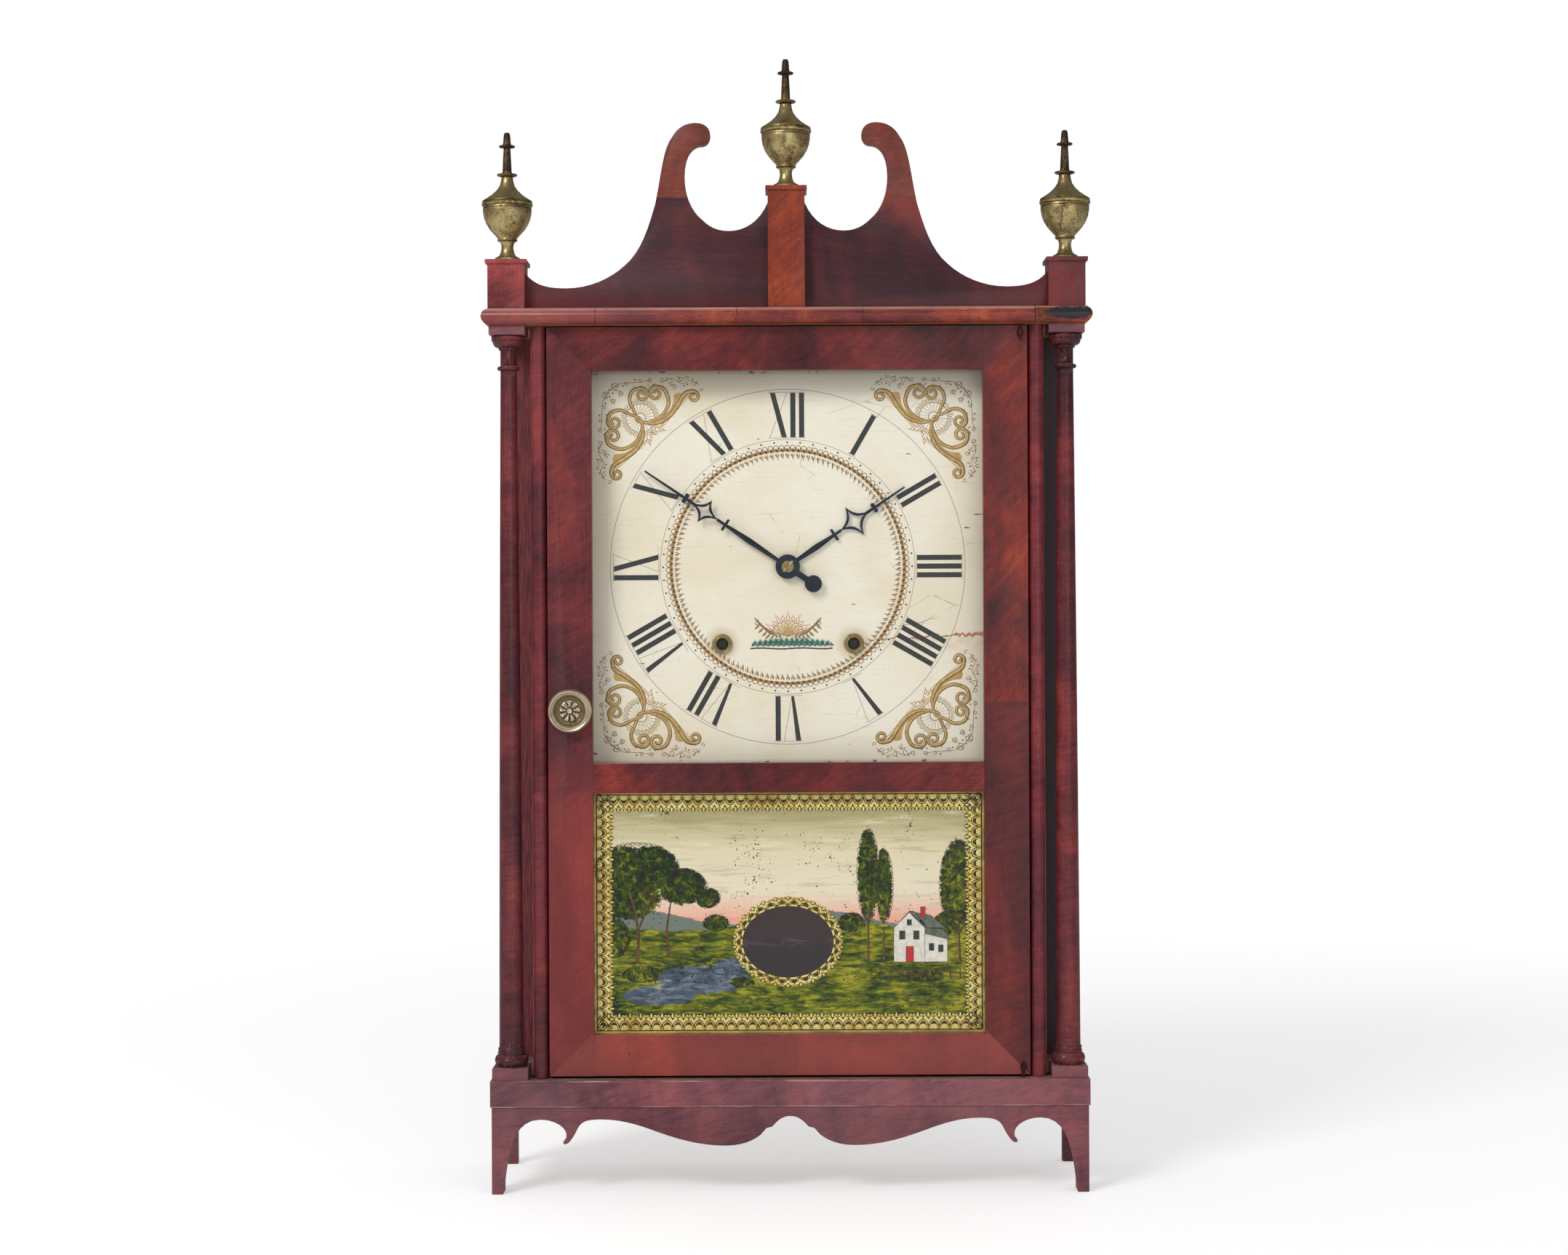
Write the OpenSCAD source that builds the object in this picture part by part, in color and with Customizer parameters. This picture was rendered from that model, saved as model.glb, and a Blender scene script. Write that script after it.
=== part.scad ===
// Pillar-and-scroll shelf clock with a weight-driven striking movement of wood.
// The front faces -Y and +Z is up. The origin is on the shelf, at the middle of the clock's box.

/* [Base] */
// Width of the base
base_w = 422; // [412:1:432]
// Height of the base rails
base_h = 18.7; // [15:0.1:22]
// Height of the apron and feet under the base rails
apron_h = 61; // [58:0.5:66]
// Thickness of the aprons
apron_t = 8; // [6:0.5:10]
// Step from the face of the base rails back to the apron
apron_set = 1; // [0.5:0.1:2]
// Width of a foot where it stands on the shelf
foot_w = 8; // [6.5:0.5:10]
// Width of a base rail, seen from above
rail_w = 26; // [20:1:30]
// Side of the glue blocks inside the base corners
glue_block = 14; // [10:1:18]

/* [Case] */
// Height of the case sides between the base and the top board
case_h = 531.3; // [530:0.1:545]
// Thickness of the case sides
side_t = 11; // [9:0.5:13]
// Thickness of the backboard
back_t = 8; // [6:0.5:9]
// Distance of the backboard's edges in from the ends of the base
back_in = 8; // [6:0.5:16]
// Gap between the backboard and the top board
back_gap = 5; // [2:0.5:8]
// Thickness of the top board and its half-round nosing
top_t = 12; // [10:0.5:14]
// Set of the top board, columns and crest back from the base's front
top_set = 3; // [2:0.5:4]
// Set of the top board's ends in from the base's ends
end_set = 2.3; // [2:0.1:4]
// Set of the column blocks in from the base's ends
block_set = 1.2; // [0.5:0.1:3]
// Set of the crest plinths in from the base's ends
plinth_set = 0.5; // [0:0.1:2]
// Set of the case front and door back from the base front
door_set = 9; // [8:0.5:11]

/* [Door] */
// Distance of the door's edges in from the ends of the base
door_in = 41.3; // [40:0.1:46]
// Thickness of the door frame
door_t = 15; // [14:0.5:16]
// Width of the door stiles
stile_w = 31.4; // [28:0.1:34]
// Height of the bottom rail of the door
bottom_rail_h = 28.8; // [26:0.1:32]
// Height of the middle rail of the door
mid_rail_h = 21; // [18:0.1:24]
// Height of the tablet opening
tablet_h = 170.7; // [166:0.1:173]
// Height of the top rail of the door
top_rail_h = 30.8; // [28:0.1:34]
// Gap under the door
door_gap = 1.8; // [1:0.1:2.5]
// Gap at the other edges of the door
door_play = 0.8; // [0.5:0.1:1.2]
// Thickness of the glass
glass_t = 2; // [1.5:0.1:2.5]
// Depth of the rabbet behind the glass openings
rabbet_d = 6; // [5:0.1:7]
// Width of the rabbet round the glass openings
rabbet_w = 6; // [5:0.1:8]
// Distance of the hinge line from the door's right edge
hinge_in = 5; // [4.5:0.1:7]
// Distance of the hinge line in front of the door
hinge_out = 2; // [1.8:0.1:2.6]
// Radius of the hinge wire
hinge_r = 1.1; // [0.9:0.1:1.2]

/* [Knob] */
// Outer radius of the brass knob
knob_r = 15.5; // [13:0.1:17]
// How far the knob stands out of the door
knob_h = 12; // [10.5:0.1:13]
// Height of the knob above the bottom of the door
knob_z = 258; // [240:1:270]
// Length of the latch hook from the knob's axis
latch_l = 20; // [19:0.5:21]

/* [Columns] */
// Side of the square column blocks
block_w = 25.4; // [24:0.1:26]
// Height of the lower column blocks
block_h = 8.3; // [7:0.1:10]
// Height of the square abacus on a column
abacus_h = 6.6; // [5.5:0.1:8]
// Radius of the shaft at the bottom
shaft_r = 8.7; // [7.5:0.1:9]
// Radius of the shaft at the top
neck_r = 5.7; // [5:0.1:6.5]
// Radius of the base torus
torus_r = 11.9; // [11:0.1:12.4]

/* [Crest] */
// Side of the square crest plinths
plinth_w = 26; // [24:0.5:27]
// Height of the two side plinths, without their caps
side_plinth_h = 31.5; // [30:0.5:36]
// Height of the centre plinth, without its cap
centre_plinth_h = 82.5; // [80:0.5:88]
// Thickness of the plinth caps
cap_t = 3; // [2.5:0.1:4]
// How far a cap stands out all round
cap_out = 1.6; // [1:0.1:2]
// Thickness of the scroll board
scroll_t = 8; // [6:0.5:10]
// Height of a finial
finial_h = 91.5; // [84:0.5:96]
// Radius of the lip of the urn
urn_r = 18.1; // [16:0.1:19]

/* [Dial] */
// Gap between the dial board's edge and the case side
dial_gap = 5.5; // [3:0.5:10]
// Thickness of the dial board
dial_t = 5; // [4:0.5:6]
// Distance of the dial face behind the back of the door
dial_set = 7.5; // [7:0.1:8.5]
// Overlap of the dial board behind the door rails, above and below
dial_lap = 12; // [8:0.5:14]
// Distance of a winding hole from the dial's centre line
wind_x = 47; // [46:0.1:48]
// Distance of a winding hole below the dial's centre
wind_z = 55; // [54:0.1:56]
// Radius of a winding hole through its eyelet
wind_hole_r = 4.2; // [4:0.1:4.6]
// Outer radius of a winding eyelet
eyelet_r = 7.3; // [6.5:0.1:8]

/* [Hands] */
// Length of the minute hand from its axis
minute_l = 122.6; // [116:0.1:124]
// Length of the hour hand from its axis
hour_l = 101; // [90:0.1:106]
// Thickness of the hands
hand_t = 0.8; // [0.6:0.1:1]
// Angle of the minute hand from twelve o'clock, clockwise
minute_at = -56; // [-180:1:180]
// Angle of the hour hand from twelve o'clock, clockwise
hour_at = 56; // [-180:1:180]

/* [Movement] */
// Width of the movement plates
plate_w = 172; // [170:1:176]
// Height of the plates above the dial's centre
plate_up = 52; // [50:1:56]
// Height of the plates below the dial's centre
plate_down = 100; // [98:1:106]
// Thickness of a movement plate
plate_t = 6; // [5:0.5:6.5]
// Space between the dial board and the front plate
dial_space = 18; // [17.5:0.1:18.5]
// Space between the two plates
plate_space = 30; // [30:0.1:31]
// Space between the back plate and the backboard
board_gap = 7.5; // [5.5:0.5:11.5]
// Radius of the pillars between the plates
pillar_r = 5; // [4:0.5:6]
// Radius of the arbors
arbor_r = 2.5; // [2.2:0.1:2.6]
// Radius of the pivots at the arbor ends
pivot_r = 1.2; // [1:0.05:1.3]
// Radial play of a turning fit
fit = 0.06; // [0.03:0.01:0.09]
// Radius of the centre arbor
centre_r = 2; // [1.8:0.1:2.1]
// Radius of the winding arbors
wind_r = 3; // [2.8:0.1:3.2]
// Radius of the winding drums
drum_r = 14; // [13.5:0.1:14.2]
// Radius of the cord
cord_r = 1; // [0.8:0.1:1.1]

/* [Pendulum] */
// Distance of the pendulum's suspension below the dial's centre
hang_z = 17.5; // [17:0.1:18.5]
// Length of the pendulum, from its suspension to the middle of the bob
pendulum_l = 248.5; // [240:0.5:256]
// Radius of the bob
bob_r = 27; // [24:0.5:30]
// Thickness of the bob
bob_t = 9; // [7:0.5:10]
// Radius of the pendulum wire
rod_r = 0.8; // [0.7:0.05:0.9]

/* [Weights] */
// Width of a weight
weight_w = 44; // [40:1:46]
// Depth of a weight, front to back
weight_d = 34; // [30:1:36]
// Height of a weight
weight_h = 130; // [120:1:140]
// Clearance between a run-down weight and the base
weight_lift = 0.4; // [0.3:0.1:1]
// Radius of a pulley
pulley_r = 14.5; // [14:0.1:15]
// Distance of a pulley's axis from the case side's inner face
pulley_in = 49.5; // [47.5:0.5:51.5]

/* [Bell] */
// Radius of the bell's mouth
bell_r = 38; // [34:0.5:39]
// Depth of the bell
bell_d = 20; // [18:0.5:21]
// Wall of the bell
bell_wall = 3; // [2.5:0.1:3.5]
// Distance of the bell's axis below the movement plates
bell_drop = 56; // [52:0.5:60]

/* [Hidden] */
mahogany = [0.42, 0.14, 0.1];
pine = [0.68, 0.52, 0.34];
cherry = [0.6, 0.36, 0.2];
old_brass = [0.6, 0.5, 0.3];
iron = [0.2, 0.2, 0.22];
blue_steel = [0.1, 0.12, 0.18];
cord_brown = [0.45, 0.36, 0.24];
fine = 96;
small = 32;

// Levels, from the shelf up
z_floor = apron_h + base_h;
z_top = z_floor + case_h;
z_deck = z_top + top_t;
z_door = z_floor + door_gap;
z_tablet = z_door + bottom_rail_h;
z_mid = z_tablet + tablet_h;
z_open = z_mid + mid_rail_h;
z_door_top = z_top - door_play;
z_open_top = z_door_top - top_rail_h;
dial_h = z_open_top - z_open;
z_dial = z_open + dial_h / 2;

// Planes, from the front back; the knob and the back edge are equally far from y = 0
nose_r = top_t / 2;
behind_dial = dial_space + 2 * plate_t + plate_space + board_gap;
base_d = door_set + door_t + dial_set + dial_t + behind_dial + back_t;
y_back = (base_d - door_set + knob_h) / 2;
y_front = y_back - base_d;
y_door = y_front + door_set;
y_door_back = y_door + door_t;
y_face = y_door_back + dial_set;
y_dial_back = y_face + dial_t;
y_plate = y_dial_back + dial_space;
y_in = y_plate + plate_t;
y_in_back = y_in + plate_space;
y_plate_back = y_in_back + plate_t;
y_board = y_back - back_t;

// Widths
door_w = base_w - 2 * door_in;
case_in = door_w / 2 + door_play;
case_out = case_in + side_t;
pulley_x = case_in - pulley_in;
top_x = base_w / 2 - end_set;
col_x = base_w / 2 - block_set - block_w / 2;
col_y = y_front + top_set + block_w / 2;
open_w = door_w - 2 * stile_w;
back_w = base_w - 2 * back_in;
dial_w = 2 * (case_in - dial_gap);
crest_x = base_w / 2 - plinth_set - plinth_w / 2;
crest_y = y_front + top_set + plinth_w / 2;

module box(x0, x1, y0, y1, z0, z1) {
    translate([x0, y0, z0])
        cube([x1 - x0, y1 - y0, z1 - z0]);
}

// A front-view outline made solid from y0 back to y1
module upright(y0, y1) {
    translate([0, y1, 0])
        rotate([90, 0, 0])
            linear_extrude(y1 - y0)
                children();
}

// A round bar along Y, its axis at p in the front view
module bar(p, r, y0, y1) {
    translate([p[0], y0, p[1]])
        rotate([-90, 0, 0])
            cylinder(h = y1 - y0, r = r, $fn = fine);
}

module both_sides() {
    children();
    mirror([1, 0, 0])
        children();
}

// Points of a cubic curve after its first end
function curve(a, b, c, d, n) = [for (i = [1:n])
    let (t = i / n, u = 1 - t)
    u * u * u * a + 3 * u * u * t * b + 3 * u * t * t * c + t * t * t * d];

// A half outline closed by its mirror image
function mirrored(half) = concat(half,
    [for (i = [len(half) - 1:-1:0]) [-half[i][0], half[i][1]]]);

function polar(r, a) = [r * cos(a), r * sin(a)];

module base_frame() {
    color(mahogany) {
        difference() {
            box(-base_w / 2, base_w / 2, y_front, y_back, apron_h, z_floor);
            box(-base_w / 2 + rail_w, base_w / 2 - rail_w, y_front + rail_w, y_back + 1,
                apron_h - 1, z_floor + 1);
        }
    }
}

module base_board() {
    color(pine)
        box(-base_w / 2 + rail_w, base_w / 2 - rail_w, y_front + rail_w, y_back,
            apron_h, z_floor);
}

// Lower edge of the front apron: foot, arch, spur, lobe and the middle arch
spur_x = 159;
lobe_x = 45.4;
apron_x = base_w / 2 - apron_set;
foot_in = apron_x - foot_w;
arch_z = apron_h - 8.6;
lobe_z = apron_h - 27.4;
spur_z = apron_h - 26;
front_edge = concat(
    [[apron_x, apron_h], [apron_x, 0], [foot_in, 0]],
    curve([foot_in, 0], [foot_in - 2.5, arch_z / 2], [apron_x - 14, arch_z],
        [apron_x - 34, arch_z], 10),
    curve([apron_x - 34, arch_z], [spur_x + 7, arch_z], [spur_x - 1, arch_z - 5],
        [spur_x - 1.5, spur_z + 7], 8),
    curve([spur_x - 1.5, spur_z + 7], [spur_x - 1.6, spur_z + 4], [spur_x - 0.6, spur_z + 2.6],
        [spur_x + 0.8, spur_z + 1.4], 4),
    [[spur_x + 0.7, spur_z + 0.3], [spur_x - 1, spur_z], [spur_x - 3, spur_z + 1]],
    curve([spur_x - 3, spur_z + 1], [spur_x - 6, spur_z + 4], [spur_x - 8, spur_z + 8],
        [spur_x - 10, spur_z + 12], 5),
    curve([spur_x - 10, spur_z + 12], [spur_x - 12.5, arch_z - 1], [spur_x - 17, arch_z],
        [spur_x - 26, arch_z], 6),
    curve([spur_x - 26, arch_z], [spur_x - 38, arch_z], [spur_x - 49, arch_z - 2.9],
        [spur_x - 60.6, arch_z - 7.1], 6),
    curve([spur_x - 60.6, arch_z - 7.1], [lobe_x + 35, lobe_z + 4.9], [lobe_x + 18.6, lobe_z],
        [lobe_x, lobe_z], 8),
    curve([lobe_x, lobe_z], [lobe_x - 11.4, lobe_z], [lobe_x - 19.4, lobe_z + 3.4],
        [lobe_x - 24.5, lobe_z + 7.6], 6),
    [[lobe_x - 28.6, lobe_z + 12.2], [lobe_x - 32.6, lobe_z + 13.2]],
    curve([lobe_x - 32.6, lobe_z + 13.2], [lobe_x - 37, arch_z - 0.5], [5, arch_z + 1.8],
        [0, arch_z + 1.8], 6)
);

module front_apron() {
    color(mahogany)
        upright(y_front + apron_set, y_front + apron_set + apron_t)
            polygon(mirrored(front_edge));
}

// Lower edge of a side apron between its front and rear feet
side_y0 = y_front + apron_set + apron_t;
side_mid = (side_y0 + y_back) / 2;
side_half = (y_back - side_y0) / 2;
side_edge = concat(
    [[side_half, apron_h], [side_half, 0], [side_half - foot_w, 0]],
    curve([side_half - foot_w, 0], [side_half - foot_w - 2, arch_z / 2],
        [side_half - 13, arch_z - 2], [side_half - 24, arch_z - 2], 10),
    curve([side_half - 24, arch_z - 2], [side_half - 36, arch_z - 2], [8, arch_z - 9],
        [0, arch_z - 9], 8)
);

module side_apron() {
    translate([apron_x - apron_t, side_mid, 0])
        rotate([90, 0, 90])
            linear_extrude(apron_t)
                polygon(mirrored(side_edge));
}

module side_aprons() {
    color(mahogany)
        both_sides() {
            side_apron();
            box(apron_x - apron_t - glue_block, apron_x - apron_t, side_y0,
                side_y0 + glue_block, arch_z + 1, apron_h);
        }
}

latch_z = z_door + knob_z;
bead_r = side_t / 2;
latch_slot = 14;
latch_slot_x = 8;
latch_slot_y = [2, 5];

module case_sides() {
    color(mahogany)
        both_sides()
            difference() {
                union() {
                    box(case_in, case_out, y_door + bead_r, y_board, z_floor, z_top);
                    translate([case_in + bead_r, y_door + bead_r, z_floor])
                        cylinder(h = case_h, r = bead_r, $fn = fine);
                }
                box(case_in - 1, case_in + latch_slot_x, y_door_back - latch_slot_y[0],
                    y_door_back + latch_slot_y[1], latch_z - latch_slot, latch_z + latch_slot);
            }
}

module backboard() {
    color(pine)
        box(-back_w / 2, back_w / 2, y_board, y_back, z_floor, z_top - back_gap);
}

// The top board, with a slot for each pulley
slot_half = pulley_r + 2.5;
slot_w = 8;
y_cord = y_in + 15;

module top_board() {
    color(pine)
        difference() {
            box(-top_x, top_x, y_front + top_set, y_back, z_top, z_deck);
            both_sides()
                box(pulley_x - slot_half, pulley_x + slot_half, y_cord - slot_w / 2,
                    y_cord + slot_w / 2, z_top - 1, z_deck + 1);
        }
}

module nosing(l) {
    rotate([0, 90, 0])
        cylinder(h = l, r = nose_r, $fn = fine);
}

// Half-round moulding round the front and both ends of the top board, mitred at the corners
module cornice() {
    y0 = y_front + top_set;
    z_axis = z_top + nose_r;
    color(mahogany) {
        intersection() {
            translate([-top_x - nose_r, y0, z_axis])
                nosing(2 * (top_x + nose_r));
            upright_plan(z_top, z_deck)
                polygon([[-top_x, y0], [-top_x - nose_r, y0 - nose_r],
                    [top_x + nose_r, y0 - nose_r], [top_x, y0]]);
        }
        both_sides()
            intersection() {
                translate([top_x, y_back, z_axis])
                    rotate([90, 0, 0])
                        cylinder(h = y_back - y0 + nose_r, r = nose_r, $fn = fine);
                upright_plan(z_top, z_deck)
                    polygon([[top_x, y0], [top_x + nose_r, y0 - nose_r],
                        [top_x + nose_r, y_back], [top_x, y_back]]);
            }
    }
}

// A plan outline made solid from z0 up to z1
module upright_plan(z0, z1) {
    translate([0, 0, z0])
        linear_extrude(z1 - z0)
            children();
}

// Turned column: base mouldings, tapered shaft with a slight swell, neck and capital
col_z0 = z_floor + block_h;
col_z1 = z_top - abacus_h;
base_mould = 13.5;
cap_mould = 24.5;
shaft_z0 = col_z0 + base_mould;
shaft_z1 = col_z1 - cap_mould;
shaft_steps = 8;
function shaft_at(t) = shaft_r - (shaft_r - neck_r) * (0.7 * t + 0.3 * t * t);
column_profile = concat(
    [[0, col_z0], [torus_r - 1.4, col_z0]],
    [for (a = [-60:20:60]) [torus_r - 4 + 4 * cos(a), col_z0 + 4.4 + 4.4 * sin(a)]],
    [[torus_r - 2.4, col_z0 + 8.8], [torus_r - 2, col_z0 + 9.6], [torus_r - 2.4, col_z0 + 10.6],
        [shaft_r + 0.6, col_z0 + 11.4], [shaft_r + 0.9, col_z0 + 12.6]],
    [for (i = [0:shaft_steps]) [shaft_at(i / shaft_steps),
        shaft_z0 + (shaft_z1 - shaft_z0) * i / shaft_steps]],
    [for (a = [-60:30:60]) [neck_r + 0.7 + 1.6 * cos(a), shaft_z1 + 1.6 + 1.5 * sin(a)]],
    [[neck_r, shaft_z1 + 3.4], [neck_r, shaft_z1 + 14.2], [neck_r + 1.2, shaft_z1 + 14.8],
        [neck_r + 1.2, shaft_z1 + 15.8]],
    [for (a = [0:18:90]) [neck_r + 1.4 + 4 * sin(a), shaft_z1 + 16.2 + 4.3 * (1 - cos(a))]],
    [[neck_r + 6.2, shaft_z1 + 21], [neck_r + 6.4, shaft_z1 + 23.4], [neck_r + 5.6, col_z1],
        [0, col_z1]]
);

module columns() {
    color(mahogany)
        both_sides()
            translate([col_x, col_y, 0])
                rotate_extrude($fn = fine)
                    polygon(column_profile);
}

module column_blocks() {
    half = block_w / 2;
    color(mahogany)
        both_sides() {
            box(col_x - half, col_x + half, col_y - half, col_y + half, z_floor, col_z0);
            box(col_x - half, col_x + half, col_y - half, col_y + half, col_z1, z_top);
        }
}

// Half outline of the scroll board, from the side plinth up over the horn and down to the middle
scroll_half = crest_x - plinth_w / 2;
ledge_x = scroll_half - 29;
horn_x = scroll_half * 0.434;
bowl_x = scroll_half * 0.22;
horn_z = z_deck + 122;
bowl_z = z_deck + 54.9;
low_z = z_deck + 14.9;
scroll_edge = concat(
    [[scroll_half, z_deck], [scroll_half, low_z + 10.5]],
    curve([scroll_half, low_z + 10.5], [scroll_half - 7, low_z + 1.5],
        [scroll_half - 17, low_z], [ledge_x, low_z], 8),
    curve([ledge_x, low_z], [ledge_x - 16, low_z], [ledge_x - 31, low_z + 6.6],
        [ledge_x - 41.1, low_z + 15.9], 8),
    curve([ledge_x - 41.1, low_z + 15.9], [horn_x + 22, low_z + 26], [horn_x + 17, low_z + 44],
        [horn_x + 12.4, low_z + 59.5], 8),
    curve([horn_x + 12.4, low_z + 59.5], [horn_x + 7.5, horn_z - 24], [horn_x + 7, horn_z - 9],
        [horn_x, horn_z], 8),
    curve([horn_x, horn_z], [horn_x - 3.5, horn_z + 6], [horn_x - 9, horn_z + 9.4],
        [horn_x - 16.4, horn_z + 9.4], 8),
    curve([horn_x - 16.4, horn_z + 9.4], [horn_x - 23, horn_z + 9.4],
        [horn_x - 26.6, horn_z + 5.5], [horn_x - 26.6, horn_z + 1], 6),
    curve([horn_x - 26.6, horn_z + 1], [horn_x - 26.6, horn_z - 3.5],
        [horn_x - 24, horn_z - 6.6], [horn_x - 20.5, horn_z - 6.6], 6),
    curve([horn_x - 20.5, horn_z - 6.6], [horn_x - 16, horn_z - 6.6],
        [horn_x - 8.2, horn_z - 10], [horn_x - 8.2, horn_z - 28], 8),
    curve([horn_x - 8.2, horn_z - 28], [horn_x - 8.2, bowl_z + 26], [horn_x - 13, bowl_z + 14],
        [horn_x - 20.5, bowl_z + 8.2], 8),
    curve([horn_x - 20.5, bowl_z + 8.2], [bowl_x + 14, bowl_z + 3.1], [bowl_x + 8.5, bowl_z],
        [bowl_x, bowl_z], 6),
    curve([bowl_x, bowl_z], [bowl_x - 11, bowl_z], [plinth_w / 2 + 6, bowl_z + 6],
        [plinth_w / 2, bowl_z + 20], 8)
);

module scroll_outline() {
    polygon(mirrored(scroll_edge));
}

module scroll_board() {
    color(mahogany)
        upright(crest_y - scroll_t / 2, crest_y + scroll_t / 2)
            scroll_outline();
}

// A square plinth on the deck with its cap; the centre one is checked over the scroll board
module plinth(x, h) {
    half = plinth_w / 2;
    out = half + cap_out;
    box(x - half, x + half, crest_y - half, crest_y + half, z_deck, z_deck + h);
    box(x - out, x + out, crest_y - out, crest_y + out, z_deck + h, z_deck + h + cap_t);
}

module crest_plinths() {
    color(mahogany) {
        both_sides()
            plinth(crest_x, side_plinth_h);
        difference() {
            plinth(0, centre_plinth_h);
            upright(crest_y - scroll_t / 2, crest_y + scroll_t / 2)
                scroll_outline();
        }
    }
}

// Brass urn, turned; heights are measured up from its foot, and down from its tip
urn_foot = 9.5;
lip_z = 41;
bowl_r = urn_r - 0.4;
cover_r = urn_r - 1.4;
stem_r = 3.5;
urn_profile = concat(
    [[0, 0], [urn_foot, 0], [urn_foot, 1.2], [urn_foot - 0.5, 1.9], [6.6, 3.1], [5.1, 5.1],
        [4.5, 7.2], [4.5, 9.2], [4.9, 11.3], [6, 12.7], [6.4, 13.5], [6.1, 14.4]],
    curve([6.1, 14.4], [11.5, 19], [urn_r - 1.3, lip_z - 15], [bowl_r, lip_z - 5], 10),
    [[bowl_r, lip_z - 5], [urn_r, lip_z - 4.2], [urn_r, lip_z - 2.8], [bowl_r, lip_z - 2.4],
        [bowl_r, lip_z - 1.7], [urn_r, lip_z - 1.3], [urn_r, lip_z], [cover_r, lip_z + 0.9]],
    curve([cover_r, lip_z + 1.3], [9.5, lip_z + 3.5], [5.6, lip_z + 9], [4.4, lip_z + 16.5], 10),
    [[4.4, finial_h - 31.3], [7.6, finial_h - 30.8], [7.6, finial_h - 29.7],
        [stem_r + 0.1, finial_h - 28.4], [stem_r, finial_h - 21.7], [stem_r - 0.5, finial_h - 19.8],
        [stem_r - 0.5, finial_h - 13.6], [stem_r - 0.2, finial_h - 10.8], [5.7, finial_h - 10],
        [5.7, finial_h - 9.1], [stem_r - 0.5, finial_h - 7.6], [stem_r - 0.6, finial_h - 4.7],
        [stem_r - 1.1, finial_h - 0.8], [stem_r - 1.5, finial_h], [0, finial_h]]
);

module finial(x, z) {
    translate([x, crest_y, z])
        rotate_extrude($fn = fine)
            polygon(urn_profile);
}

module finials() {
    color(old_brass) {
        both_sides()
            finial(crest_x, z_deck + side_plinth_h + cap_t);
        finial(0, z_deck + centre_plinth_h + cap_t);
    }
}

// Door frame, with a rabbet at the back for each glass
glass_play = 0.5;

module glass_rabbets() {
    half = open_w / 2 + rabbet_w;
    box(-half, half, y_door_back - rabbet_d, y_door_back + 1,
        z_open - rabbet_w, z_open_top + rabbet_w);
    box(-half, half, y_door_back - rabbet_d, y_door_back + 1,
        z_tablet - rabbet_w, z_mid + rabbet_w);
}

knob_x = door_w / 2 - stile_w / 2;
shank_r = 3;
hinge_x = door_w / 2 - hinge_in;
hinge_y = y_door - hinge_out;

module door_stiles() {
    color(mahogany)
        difference() {
            both_sides()
                box(open_w / 2, door_w / 2, y_door, y_door_back, z_door, z_door_top);
            glass_rabbets();
            bar([-knob_x, latch_z], shank_r + fit, y_door - 1, y_door_back + 1);
        }
}

module door_rails() {
    half = open_w / 2;
    color(mahogany)
        difference() {
            union() {
                box(-half, half, y_door, y_door_back, z_door, z_tablet);
                box(-half, half, y_door, y_door_back, z_mid, z_open);
                box(-half, half, y_door, y_door_back, z_open_top, z_door_top);
            }
            glass_rabbets();
        }
}

module pane(z0, z1) {
    half = open_w / 2 + rabbet_w - glass_play;
    y0 = y_door_back - rabbet_d;
    box(-half, half, y0, y0 + glass_t, z0 - rabbet_w + glass_play, z1 + rabbet_w - glass_play);
}

module dial_glass() {
    color([0.85, 0.9, 0.88, 0.25])
        pane(z_open, z_open_top);
}

module tablet_glass() {
    color([0.7, 0.65, 0.4])
        pane(z_tablet, z_mid);
}

// Glazing strips that hold a pane in its rabbet
module strips(z0, z1) {
    half = open_w / 2 + rabbet_w;
    lap = rabbet_w - 1;
    difference() {
        box(-half, half, y_door_back - rabbet_d + glass_t, y_door_back,
            z0 - rabbet_w, z1 + rabbet_w);
        box(-half + lap, half - lap, y_door_back - rabbet_d, y_door_back + 1,
            z0 - rabbet_w + lap, z1 + rabbet_w - lap);
    }
}

module glazing_strips() {
    color(pine) {
        strips(z_open, z_open_top);
        strips(z_tablet, z_mid);
    }
}

// Wire hinges: a pin from the base and one from the top board, each in an eye on the door
wire_l = 11;
eye_h = 3;
eye_gap = 4;
eye_r = hinge_r + 0.9;
eye_low = z_door + eye_gap;
eye_high = z_door_top - eye_gap - eye_h;

module hinge_wires() {
    color(iron) {
        translate([hinge_x, hinge_y, z_floor])
            cylinder(h = wire_l, r = hinge_r, $fn = small);
        translate([hinge_x, hinge_y, z_top - wire_l])
            cylinder(h = wire_l, r = hinge_r, $fn = small);
    }
}

module hinge_eye(z) {
    difference() {
        union() {
            translate([hinge_x, hinge_y, z])
                cylinder(h = eye_h, r = eye_r, $fn = small);
            box(hinge_x - eye_r, hinge_x, hinge_y, y_door, z, z + eye_h);
        }
        translate([hinge_x, hinge_y, z - 1])
            cylinder(h = eye_h + 2, r = hinge_r + fit, $fn = small);
    }
}

module hinge_eyes() {
    color(iron) {
        hinge_eye(eye_low);
        hinge_eye(eye_high);
    }
}

// Stepped brass knob with a recess and a petalled rosette
rosette_r = 8.6;
petals = 9;
knob_profile = [[0, 0], [rosette_r + 2, 0], [rosette_r + 2.2, knob_h - 4], [knob_r - 0.6, knob_h - 4],
    [knob_r, knob_h - 3], [knob_r, knob_h - 1.6], [knob_r - 0.8, knob_h - 0.8],
    [knob_r - 2.2, knob_h - 0.5], [knob_r - 3.4, knob_h], [knob_r - 4.6, knob_h - 0.2],
    [knob_r - 5.2, knob_h - 1.2], [rosette_r + 0.6, knob_h - 1.6], [rosette_r, knob_h - 3.6],
    [0, knob_h - 3.6]];

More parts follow.
